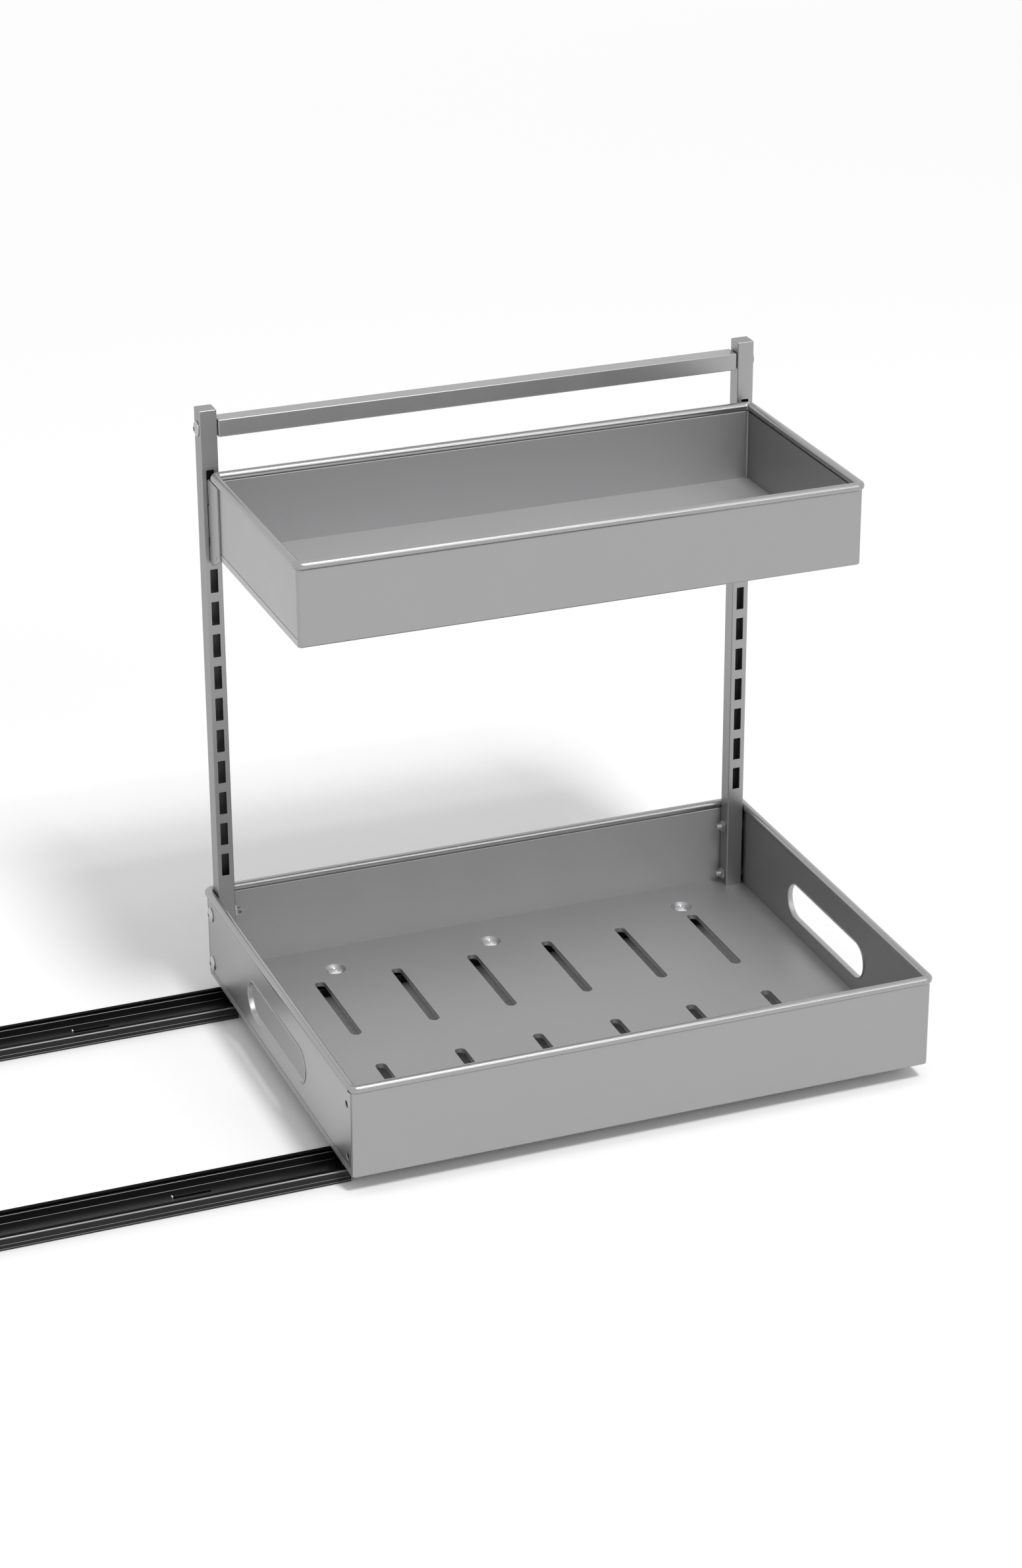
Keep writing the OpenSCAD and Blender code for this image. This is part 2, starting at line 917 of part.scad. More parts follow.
module post() {
    hollow_w = post_w - 2 * post_wall;
    difference() {
        translate([post_x, post_y, 0])
            post_blank(post_w, post_r, floor_z, post_top);
        translate([post_x, post_y, floor_z - over])
            linear_extrude(post_top - post_wall - floor_z + over)
                square(hollow_w, center = true);
        for (i = [0 : hook_slot_count - 1])
            translate([post_x - hook_slot_w / 2, post_front_y - over,
                    hook_slot_first + i * hook_slot_pitch - hook_slot_h / 2])
                cube([hook_slot_w, post_wall + 2 * over, hook_slot_h]);
        for (z = concat(bolt_heights, [bar_z]))
            translate([post_x - post_w / 2 - over, post_y, z])
                rotate([0, 90, 0])
                    cylinder(d = bolt_d + bolt_clear, h = post_w + 2 * over);
    }
}

module post_left() {
    color(tube_grey)
        at_tray()
            mirror([1, 0, 0])
                post();
}

module post_right() {
    color(tube_grey)
        at_tray()
            post();
}

// Repeats a child at both ends of the basket
module both_ends() {
    at_tray()
        for (turn = [0, 1])
            mirror([turn, 0, 0])
                children();
}

module post_spacers() {
    color(zinc)
        both_ends()
            end_bolts(post_y)
                translate([0, 0, -wall_t - post_gap])
                    spacer(post_gap);
}

module post_bolts() {
    color(zinc)
        both_ends()
            end_bolts(post_y)
                socket_bolt(post_bolt_l);
}

module post_nuts() {
    color(zinc)
        both_ends()
            end_bolts(post_y)
                translate([0, 0, -wall_t - post_gap - post_w - nut_h])
                    nut(nut_h);
}

module crossbar() {
    color(tube_grey)
        at_tray()
            translate([-bar_half_l, bar_y, bar_z])
                along_x(2 * bar_half_l)
                    difference() {
                        round_rect(bar_w, bar_w, bar_r);
                        square(bar_w - 2 * post_wall, center = true);
                    }
}

module crossbar_plugs() {
    length = bar_gap + plug_l;
    color(plastic_black)
        both_ends()
            translate([bar_half_l - plug_l, bar_y, bar_z])
                difference() {
                    along_x(length)
                        square(plug_w, center = true);
                    translate([-over, post_y - bar_y, 0])
                        rotate([0, 90, 0])
                            cylinder(d = bolt_d + thread_clear, h = length + 2 * over);
                }
}

module crossbar_screws() {
    color(zinc)
        both_ends()
            translate([post_x + post_w / 2, post_y, bar_z])
                rotate([0, 90, 0])
                    socket_bolt(bar_screw_l);
}

// Upper shelf

module shelf_floor() {
    color(sheet_grey)
        at_shelf()
            floor_sheet(shelf_l, shelf_w);
}

module shelf_front_wall() {
    color(sheet_grey)
        at_shelf()
            long_wall(shelf_l, shelf_w, shelf_h);
}

module shelf_back_wall() {
    color(sheet_grey)
        at_shelf()
            rotate([0, 0, 180])
                long_wall(shelf_l, shelf_w, shelf_h);
}

module shelf_end_left() {
    color(sheet_grey)
        at_shelf()
            mirror([1, 0, 0])
                end_wall(shelf_l, shelf_w, shelf_h);
}

module shelf_end_right() {
    color(sheet_grey)
        at_shelf()
            end_wall(shelf_l, shelf_w, shelf_h);
}

module shelf_rim() {
    color(tube_grey)
        at_shelf()
            rim(shelf_l, shelf_w, shelf_h);
}

// The bracket's outline: y is zero on the post's front face, z is zero at the lowest slot's centre
module bracket_outline() {
    top = shelf_h - shelf_drop - rim_under;
    slot_low = -hook_slot_h / 2;
    hook_y = post_wall + hook_play;
    polygon([
        [-bracket_relief, top],
        [-bracket_w, top],
        [-bracket_w, bracket_cut - bracket_drop],
        [-bracket_foot, -bracket_drop],
        [-bracket_relief, -bracket_drop]
    ]);
    for (i = [0 : 2])
        translate([0, i * hook_slot_pitch]) {
            translate([-bracket_relief, -pad_bottom_share * hook_slot_h])
                square([bracket_relief - hook_play,
                    (pad_top_shares[i] + pad_bottom_share) * hook_slot_h]);
            translate([-bracket_relief, slot_low + hook_play])
                square([bracket_relief + hook_y + hook_t, neck_h]);
            translate([hook_y, slot_low + hook_play - hook_lip])
                square([hook_t, neck_h + hook_lip]);
        }
}

module shelf_bracket() {
    at_tray()
        translate([bracket_x, post_front_y, shelf_slot_z])
            along_x(bracket_t)
                difference() {
                    bracket_outline();
                    translate([-lock_hole_y, -lock_hole_drop])
                        circle(d = lock_hole_d);
                }
}

module shelf_bracket_left() {
    color(sheet_grey)
        translate([2 * basket_x, 0, 0])
            mirror([1, 0, 0])
                shelf_bracket();
}

module shelf_bracket_right() {
    color(sheet_grey)
        shelf_bracket();
}

outer_rail_front();
outer_rail_back();
rail_stops();
outer_ball_cages();
outer_balls();
middle_rail_front();
middle_rail_back();
inner_ball_cages();
inner_balls();
inner_rail_front();
inner_rail_back();
floor_spacers();
floor_screws();
rail_nuts();
tray_floor();
tray_front_wall();
tray_back_wall();
tray_end_left();
tray_end_right();
tray_rim();
post_left();
post_right();
post_spacers();
post_bolts();
post_nuts();
crossbar();
crossbar_plugs();
crossbar_screws();
shelf_floor();
shelf_front_wall();
shelf_back_wall();
shelf_end_left();
shelf_end_right();
shelf_rim();
shelf_bracket_left();
shelf_bracket_right();
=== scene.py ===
"""Dresses the pull-out cabinet basket: finer sheet metal, slides, fasteners, light and camera.

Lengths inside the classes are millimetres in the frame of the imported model, and every mesh is
written in metres when it is finished. The basket is shown fully pulled out.
"""

import logging
import math
from collections.abc import Callable
from dataclasses import dataclass, field
from enum import Enum

import bmesh
import bpy
from mathutils import Matrix, Vector
from mathutils.geometry import tessellate_polygon


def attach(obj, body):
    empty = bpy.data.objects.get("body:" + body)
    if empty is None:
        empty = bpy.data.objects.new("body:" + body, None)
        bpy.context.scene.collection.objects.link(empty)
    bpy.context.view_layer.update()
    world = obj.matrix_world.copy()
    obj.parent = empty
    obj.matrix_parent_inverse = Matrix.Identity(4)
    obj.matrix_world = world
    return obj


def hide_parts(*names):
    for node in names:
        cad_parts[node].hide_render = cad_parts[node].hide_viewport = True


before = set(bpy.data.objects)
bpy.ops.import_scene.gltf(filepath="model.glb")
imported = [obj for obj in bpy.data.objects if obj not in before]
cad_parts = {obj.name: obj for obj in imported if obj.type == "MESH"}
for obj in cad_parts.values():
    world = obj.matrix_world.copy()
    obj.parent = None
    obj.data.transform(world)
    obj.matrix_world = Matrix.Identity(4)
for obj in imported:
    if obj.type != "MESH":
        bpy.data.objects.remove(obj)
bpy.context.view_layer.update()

log = logging.getLogger("basket")

MM = 0.001  # one millimetre in metres
SUPPORT = 0.04  # from the end of a bend to the support point beside it
STRAIGHT = 1e-4  # turn in radians below which a corner is straight
NEAR = 1e-9  # distance below which two points of a path are one
MITRE = 0.35  # least cosine that a corner's normal is divided by
DOUBLE = 2e-6  # distance in metres within which points are merged
CREASE = math.radians(38.0)  # angle past which an edge is sharp

Pair = tuple[float, float]
Point = tuple[float, float, float]
Corner = tuple[float, float, float]
Loop = list[Pair]
Reach = float | Callable[[float], float]
Material = bpy.types.Material
Object = bpy.types.Object
Socket = bpy.types.NodeSocket


class Body(Enum):
    """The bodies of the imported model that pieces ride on."""

    BASE = "slide_base"
    OUTER_CAGES = "outer_cages"
    MIDDLE = "middle_slide"
    INNER_CAGES = "inner_cages"
    BASKET = "basket"
    SHELF = "shelf"


class Slot(Enum):
    """The record's material slots."""

    SHEET = "sheet_metal"
    TUBE = "tube_metal"
    RAIL = "rail_black"
    ZINC = "zinc"
    PLASTIC = "black_plastic"
    BALL = "ball_steel"


class Facing(Enum):
    """Ways to lay a drafting plane, each given by where its three axes go."""

    RIGHT = ((0, 1, 0), (0, 0, 1), (1, 0, 0))
    LEFT = ((0, -1, 0), (0, 0, 1), (-1, 0, 0))
    FRONT = ((1, 0, 0), (0, 0, 1), (0, -1, 0))

    @classmethod
    def end(cls, side: int) -> "Facing":
        """Outwards at the right end for 1, and at the left end for -1."""
        return cls.RIGHT if side > 0 else cls.LEFT

    def at(self, x: float = 0.0, y: float = 0.0, z: float = 0.0) -> Matrix:
        """The turn as a matrix, with the drawing's origin at a place."""
        return Matrix.Translation((x, y, z)) @ Matrix(self.value).transposed().to_4x4()


# Node trees


class Wiring:
    """Adds nodes to a tree and gives their inputs values and links."""

    def __init__(self, tree: bpy.types.NodeTree) -> None:
        """Keeps the tree."""
        self.nodes, self.links = tree.nodes, tree.links

    def feed(self, node: bpy.types.Node, inputs: dict[str | int, object]) -> None:
        """Gives inputs of a node their values, or links where the values are outputs.

        Args:
            node: The node.
            inputs: Values and outputs for its inputs, by name or number.
        """
        for label, value in inputs.items():
            if isinstance(value, Socket):
                self.links.new(value, node.inputs[label])
            else:
                node.inputs[label].default_value = value

    def add(self, kind: str, inputs: dict[str | int, object], output: str, **options: str) -> Socket:
        """Adds a node.

        Args:
            kind: Its type.
            inputs: Values and outputs for its inputs, by name or number.
            output: Name of the output that is wanted.
            **options: Its settings.

        Returns:
            That output.
        """
        node = self.nodes.new(kind)
        for label, value in options.items():
            setattr(node, label, value)
        self.feed(node, inputs)
        return node.outputs[output]

    def combine(self, operation: str, first: Socket, second: Socket | float) -> Socket:
        """Puts two values through a math node."""
        return self.add("ShaderNodeMath", {0: first, 1: second}, "Value", operation=operation)

    def remap(self, value: Socket, span: Pair, into: Pair) -> Socket:
        """Maps a value from one span into another."""
        return self.add("ShaderNodeMapRange", {"Value": value, "From Min": span[0], "From Max": span[1],
                                               "To Min": into[0], "To Max": into[1]}, "Result")


# Finishes


@dataclass(frozen=True)
class MetalFinish:
    """A metal or lacquer look with fine grain, faint mottling and a soft sheen.

    Attributes:
        name: Name of the material.
        colour: Base colour, linear.
        metallic: How far the surface is bare metal.
        roughness: Middle roughness.
        spread: How far the mottling moves the roughness.
        grain: Size of the surface grain in millimetres.
        relief: Depth of the grain in millimetres.
        stretch: How far the grain is drawn out along each axis.
        tint: How far the grain darkens and lightens the colour.
        specular: Strength of the surface reflection where it isn't bare metal.
        coat: Weight of a clear coat.
        coat_roughness: Roughness of the clear coat.
        edge_tint: How bright the metal stays when it is seen at a flat angle.
        bump: Strength of the grain's relief.
        grain_detail: Detail of the grain.
        grain_span: Part of the grain's range that is spread over the whole tint.
        mottle: Patches of mottling to a metre.
        mottle_detail: Detail of the mottling.
        mottle_span: Part of the mottling's range that is spread over the whole roughness.
    """

    name: str
    colour: Point
    metallic: float
    roughness: float
    spread: float = 0.03
    grain: float = 0.5
    relief: float = 0.004
    stretch: Point = (1.0, 1.0, 1.0)
    tint: float = 0.03
    specular: float = 0.5
    coat: float = 0.0
    coat_roughness: float = 0.12
    edge_tint: float = 1.0
    bump: float = 0.35
    grain_detail: float = 3.0
    grain_span: Pair = (0.25, 0.75)
    mottle: float = 14.0
    mottle_detail: float = 4.0
    mottle_span: Pair = (0.3, 0.7)

    def build(self) -> Material:
        """Makes the material.

        Returns:
            The finished material.
        """
        material = bpy.data.materials.new(self.name)
        material.use_nodes = True
        wiring = Wiring(material.node_tree)
        place = wiring.add("ShaderNodeTexCoord", {}, "Object")
        drawn = wiring.add("ShaderNodeMapping", {"Vector": place, "Scale": self.stretch}, "Vector")
        grain = wiring.add("ShaderNodeTexNoise", {
            "Vector": drawn, "Scale": 1.0 / (self.grain * MM), "Detail": self.grain_detail}, "Fac")
        mottle = wiring.add("ShaderNodeTexNoise", {
            "Vector": place, "Scale": self.mottle, "Detail": self.mottle_detail}, "Fac")
        shade = wiring.remap(grain, self.grain_span, (1.0 - self.tint, 1.0 + self.tint))
        rough = wiring.remap(mottle, self.mottle_span,
                             (self.roughness - self.spread, self.roughness + self.spread))
        wiring.feed(wiring.nodes["Principled BSDF"], {
            "Base Color": wiring.add("ShaderNodeVectorMath", {0: self.colour, "Scale": shade}, "Vector",
                                     operation="SCALE"),
            "Roughness": rough,
            "Normal": wiring.add("ShaderNodeBump", {
                "Height": grain, "Strength": self.bump, "Distance": self.relief * MM}, "Normal"),
            "Metallic": self.metallic, "Specular IOR Level": self.specular,
            "Specular Tint": (self.edge_tint, self.edge_tint, self.edge_tint, 1.0),
            "Coat Weight": self.coat, "Coat Roughness": self.coat_roughness})
        return material


def finish(*values: object, **named: float) -> Material:
    """A field that makes its finish when the set of finishes is made."""
    return field(default_factory=MetalFinish(*values, **named).build)


def grey(level: float, blue: float = 0.005) -> Point:
    """A grey with a trace of blue."""
    return level, level, level + blue


ALONG = (0.05, 1.0, 1.0)  # grain drawn out along the slides


@dataclass
class Finishes:
    """The finishes of the basket, made once and shared by its pieces. Several are lighter and darker copies
    of one grey sheet that paint light and shade where each sits.
    """

    sheet: Material = finish("satin_grey_sheet", grey(0.365), 1.0, 0.42)
    # Painted light: the tray floor's and slot collars' grey, lighter than the sheet, with a rougher sheen.
    lining: Material = finish("satin_grey_lining", grey(0.41), 0.7, 0.50)
    # Painted light: the shelf floor's grey is paler than the tray floor's, though it is the same sheet.
    shelf_floor: Material = finish("satin_grey_shelf_floor", grey(0.58), 0.7, 0.50)
    tube: Material = finish("satin_grey_tube", grey(0.355), 1.0, 0.27, relief=0.003)
    # Painted shade: edge_tint below 1 dims the posts' reflections at flat angles.
    post: Material = finish(
        "satin_grey_post", grey(0.365), 1.0, 0.40, relief=0.003, coat=0.10, edge_tint=0.72)
    # Painted light: the crossbar's grey is lighter than the posts'.
    bar: Material = finish("satin_grey_crossbar", grey(0.385), 1.0, 0.40, relief=0.003, coat=0.15)
    # Painted light on the end walls' outer skins, lighter than the sheet, and painted shade on their inner
    # skins, darker.
    end_outer_painted_light: Material = finish("satin_grey_end_wall", grey(0.42), 1.0, 0.42)
    end_inner_painted_shade: Material = finish("satin_grey_end_lining", grey(0.33), 1.0, 0.42)
    # Painted shade on the shelf's inner long walls, darker than the sheet, and painted light on the tray's,
    # lighter.
    shelf_lining: Material = finish("satin_grey_shelf_lining", grey(0.35), 0.7, 0.50)
    tray_lining: Material = finish("satin_grey_tray_lining", grey(0.45), 0.7, 0.50)
    # Painted shade: a dark grey inside the posts.
    hollow_painted_shade: Material = finish("tube_inside", grey(0.20, 0), 0.8, 0.5, 0.05, 0.8, 0.01)
    rail: Material = finish(
        "rail_black_lacquer", grey(0.010, 0.0005), 0.0, 0.26, 0.04, 0.9, 0.003, ALONG, 0.12, specular=0.30)
    # Painted shade: an unreflective copy of the black lacquer, put on the lips' tops and inner sides.
    rail_lip_shaded: Material = finish(
        "rail_black_lip", grey(0.004, 0.0005), 0.0, 0.30, 0.04, 0.9, 0.003, ALONG, 0.12, specular=0.02)
    # Painted highlight: a lighter grey metal on the slides' upward arrises that stands in for bright edge
    # lines.
    rail_edge_highlight: Material = finish("rail_edge_worn_grey", grey(0.19), 1.0, 0.45, 0.05, 0.9, 0.003, ALONG, 0.10)
    zinc: Material = finish("bright_zinc", (0.84, 0.85, 0.86), 1.0, 0.32, 0.06, 0.4, tint=0.06)
    bolt: Material = finish("satin_bolt_steel", grey(0.48), 1.0, 0.26, 0.05, 0.4, tint=0.05)
    cage: Material = finish("cage_black_zinc", grey(0.03, 0), 1.0, 0.35, 0.05)
    steel: Material = finish("ball_steel_polished", grey(0.62, 0), 1.0, 0.10, relief=0.001)
    plastic: Material = finish("black_moulding", grey(0.015, 0), 0.0, 0.5, 0.06, 0.7, 0.02)
    plug: Material = finish("dark_grey_moulding", grey(0.06, 0), 0.0, 0.5, 0.06, 0.7, 0.02)


# Plane outlines


def rounded(corners: list[Corner], closed: bool, steps: int) -> Loop:
    """Turns corners with radii into a smooth path, with a support point beside each bend.

    Args:
        corners: Places and bend radii of the corners.
        closed: Whether the path returns to its start.
        steps: Number of straight pieces in a bend.

    Returns:
        The points of the path.
    """
    path: Loop = []
    count = len(corners)
    for i, (x, y, r) in enumerate(corners):
        here = Vector((x, y))
        if r <= 0 or (not closed and i in (0, count - 1)):
            path.append((x, y))
            continue
        into = (here - Vector(corners[i - 1][:2])).normalized()
        out = (Vector(corners[(i + 1) % count][:2]) - here).normalized()
        turn = math.atan2(into.x * out.y - into.y * out.x, into.dot(out))
        if abs(turn) < STRAIGHT:
            path.append((x, y))
            continue
        reach = r * math.tan(abs(turn) / 2)
        start = here - into * reach
        side = Vector((-into.y, into.x)) * math.copysign(1.0, turn)
        centre = start + side * r
        arm = start - centre
        path.append(tuple(start - into * SUPPORT))
        for k in range(steps + 1):
            angle = turn * k / steps
            c, s = math.cos(angle), math.sin(angle)
            path.append((centre.x + arm.x * c - arm.y * s, centre.y + arm.x * s + arm.y * c))
        path.append(tuple(here + out * (reach + SUPPORT)))
    return path


def box_path(x: float, y: float, r: float, steps: int) -> Loop:
    """An anticlockwise rectangle about the origin, x by y, with corner radius r."""
    a, b = x / 2, y / 2
    return rounded([(a, -b, r), (a, b, r), (-a, b, r), (-a, -b, r)], True, steps)


def oblong(left: float, low: float, right: float, high: float) -> Loop:
    """An anticlockwise rectangle with sharp corners."""
    return [(left, low), (right, low), (right, high), (left, high)]


def oval_path(length: float, width: float, steps: int) -> Loop:
    """An anticlockwise stadium about the origin with its length along the first axis.

    Args:
        length: Its length over all.
        width: Its width.
        steps: Number of straight pieces in each end.

    Returns:
        The points of the path.
    """
    r = width / 2
    path: Loop = []
    for centre, start in ((length / 2 - r, -90), (r - length / 2, 90)):
        for k in range(steps + 1):
            a = math.radians(start + 180 * k / steps)
            path.append((centre + r * math.cos(a), r * math.sin(a)))
    return path


def circle_path(r: float, steps: int) -> Loop:
    """An anticlockwise circle about the origin."""
    turns = [2 * math.pi * k / steps for k in range(steps)]
    return [(r * math.cos(a), r * math.sin(a)) for a in turns]


def quarter(r: float, steps: int) -> Loop:
    """A quarter round from (r, 0) to (0, r), bulging towards the origin."""
    turns = [math.pi / 2 * k / steps for k in range(steps + 1)]
    return [(r * (1 - math.sin(a)), r * (1 - math.cos(a))) for a in turns]


def moved(path: Loop, x: float, y: float) -> Loop:
    """The path shifted by x and y."""
    return [(a + x, b + y) for a, b in path]


def hole(path: Loop) -> Loop:
    """The path turned to run clockwise, as a hole in a plate does."""
    return path[::-1]


def inward(path: Loop, closed: bool) -> list[Vector]:
    """Normals to the left along a path, lengthened at corners so that walls keep their thickness.

    Args:
        path: The path.
        closed: Whether it closes.

    Returns:
        One normal for each point.
    """
    points = [Vector(p) for p in path]
    count = len(points)
    normals = []
    for i, here in enumerate(points):
        before = points[i - 1] if closed or i > 0 else None
        after = points[(i + 1) % count] if closed or i < count - 1 else None
        sides = []
        for a, b in ((before, here), (here, after)):
            if a is not None and b is not None and (b - a).length > NEAR:
                d = (b - a).normalized()
                sides.append(Vector((-d.y, d.x)))
        mean = sum(sides, Vector((0, 0))).normalized()
        normals.append(mean / max(MITRE, mean.dot(sides[0])))
    return normals


def offset(path: Loop, distance: float) -> Loop:
    """A closed path moved inwards by a distance."""
    return [(x + n.x * distance, y + n.y * distance) for (x, y), n in zip(path, inward(path, True))]


# Meshes


def placed(name: str, data: bpy.types.ID) -> Object:
    """A new object of the data, put into the scene.

    Args:
        name: Its name.
        data: Its mesh, lamp or camera.

    Returns:
        The object.
    """
    made = bpy.data.objects.new(name, data)
    bpy.context.scene.collection.objects.link(made)
    return made


class Draft:
    """Gathers points and faces in millimetres, then makes one object of them in metres."""

    def __init__(self) -> None:
        """Starts empty."""
        self.points: list[Vector] = []
        self.faces: list[tuple[list[int], bool, int]] = []
        self.turn = Matrix.Identity(4)
        self.finish = 0

    def point(self, x: float, y: float, z: float) -> int:
        """Adds a point through the current turn and returns its number."""
        self.points.append(self.turn @ Vector((x, y, z)))
        return len(self.points) - 1

    def face(self, corners: list[int], smooth: bool = True) -> None:
        """Adds one face."""
        self.faces.append((corners, smooth, self.finish))

    def grid(self, rows: list[list[int]], wrap_rows: bool, wrap_columns: bool) -> None:
        """Joins rows of point numbers with faces.

        Args:
            rows: Rows of equal length.
            wrap_rows: Whether the last row joins the first.
            wrap_columns: Whether the last column joins the first.
        """
        count, width = len(rows), len(rows[0])
        for i in range(count if wrap_rows else count - 1):
            a, b = rows[i], rows[(i + 1) % count]
            for j in range(width if wrap_columns else width - 1):
                k = (j + 1) % width
                self.face([a[j], a[k], b[k], b[j]])

    def band(self, path: Loop, closed: bool, rings: list[Pair], closed_rings: bool = False) -> None:
        """Runs a section of (distance inward, height) pairs along a path.

        Args:
            path: The way round, seen from above.
            closed: Whether the path closes.
            rings: The section.
            closed_rings: Whether the section closes, which gives a solid with flat ends on an open path.
        """
        normals = inward(path, closed)
        rows = [[self.point(x + n.x * d, y + n.y * d, z) for (x, y), n in zip(path, normals)]
                for d, z in rings]
        self.grid(rows, closed_rings, closed)
        if closed_rings and not closed:
            for j in (0, -1):
                self.fill([[self.points[row[j]] for row in rows]])

    def fill(self, loops: list[list[Vector]]) -> None:
        """Covers flat loops, the first of them outside and the rest holes, with their own points.

        Args:
            loops: The loops, as points in space.
        """
        flat = [p for loop in loops for p in loop]
        first = len(self.points)
        self.points.extend(Vector(p) for p in flat)
        for tri in tessellate_polygon(loops):
            self.face([first + k for k in tri], False)

    def cap(self, loops: list[Loop], z: float) -> None:
        """Covers plane loops at one height."""
        self.fill([[self.turn @ Vector((x, y, z)) for x, y in loop] for loop in loops])

    def plate(self, loops: list[tuple[Loop, list[Pair]]]) -> None:
        """Makes a plate whose edges each have their own section, running from its top to its underside.

        Args:
            loops: Outline first, then holes, each with its (distance inward, height) section.
        """
        for at in (0, -1):
            self.cap([offset(path, rings[at][0]) for path, rings in loops], loops[0][1][at][1])
        for path, rings in loops:
            self.band(path, True, rings)

    def bar(self, section: Loop, start: float, end: float, ease: float = 0.0) -> None:
        """Runs a closed section along the third axis, with its ends eased by a small chamfer.

        Args:
            section: The section, either way round.
            start: Where it starts along the axis.
            end: Where it ends.
            ease: Size of the chamfer.
        """
        if sum(a[0] * b[1] - b[0] * a[1] for a, b in zip(section, section[1:] + section[:1])) < 0:
            section = section[::-1]
        rings = [(0.0, start), (0.0, end)]
        if ease:
            rings = [(ease, start), (0.0, start + ease), (0.0, end - ease), (ease, end)]
        self.plate([(section, rings[::-1])])

    def lathe(self, profile: list[tuple[Reach, Reach]], steps: int) -> None:
        """Turns a closed profile about the third axis.

        Args:
            profile: Radius and height of each row, as numbers or as functions of the angle round the axis.
            steps: Number of pieces in a turn.
        """
        rows = []
        for radius, height in profile:
            row = []
            for k in range(steps):
                angle = 2 * math.pi * k / steps
                r = radius(angle) if callable(radius) else radius
                z = height(angle) if callable(height) else height
                row.append(self.point(r * math.cos(angle), r * math.sin(angle), z))
            rows.append(row)
        self.grid(rows, False, True)

    def object(self, name: str, materials: list[Material]) -> Object:
        """Makes the object, which lies at the origin with its place in its mesh.

        Args:
            name: Its name.
            materials: Its materials, in the order of the finish numbers.

        Returns:
            The object.
        """
        mesh = bpy.data.meshes.new(name)
        mesh.from_pydata([p * MM for p in self.points], [], [f[0] for f in self.faces])
        for poly, (_, smooth, number) in zip(mesh.polygons, self.faces):
            poly.use_smooth = smooth
            poly.material_index = number
        work = bmesh.new()
        work.from_mesh(mesh)
        bmesh.ops.remove_doubles(work, verts=work.verts, dist=DOUBLE)
        bmesh.ops.recalc_face_normals(work, faces=work.faces)
        work.to_mesh(mesh)
        work.free()
        plain = [item.index for item in mesh.polygons if not item.use_smooth]
        mesh.set_sharp_from_angle(angle=CREASE)
        for index in plain:
            mesh.polygons[index].use_smooth = False
        for material in materials:
            mesh.materials.append(material)
        return placed(name, mesh)


def edge_ring(top: float, bottom: float, r: float) -> list[Pair]:
    """A plate edge's section from its top face to its underside, with both arrises rounded.

    Args:
        top: Height of the top face.
        bottom: Height of the underside.
        r: Radius of the arrises, or 0 for sharp ones.

    Returns:
        The (distance inward, height) pairs.
    """
    if r <= 0:
        return [(0.0, top), (0.0, bottom)]
    arc = quarter(r, 3)
    return [(d, top - h) for d, h in arc] + [(d, bottom + h) for d, h in reversed(arc)]


def settle(piece: Object, body: Body, slot: Slot, *nodes: str) -> None:
    """Puts a finished piece on its body.

    Args:
        piece: The piece.
        body: The body it rides on.
        slot: The record's material slot it takes its finish from; not used.
        *nodes: CAD nodes that it stands for.
    """
    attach(piece, body.value)
    if nodes:
        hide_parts(*nodes)
    log.info("%s: %d faces on %s", piece.name, len(piece.data.polygons), body.value)


# Repeats


@dataclass(frozen=True)
class Place:
    """Where one copy of a repeated shape goes, in millimetres and degrees."""

    x: float
    y: float
    z: float
    turn: Point = (0.0, 0.0, 0.0)


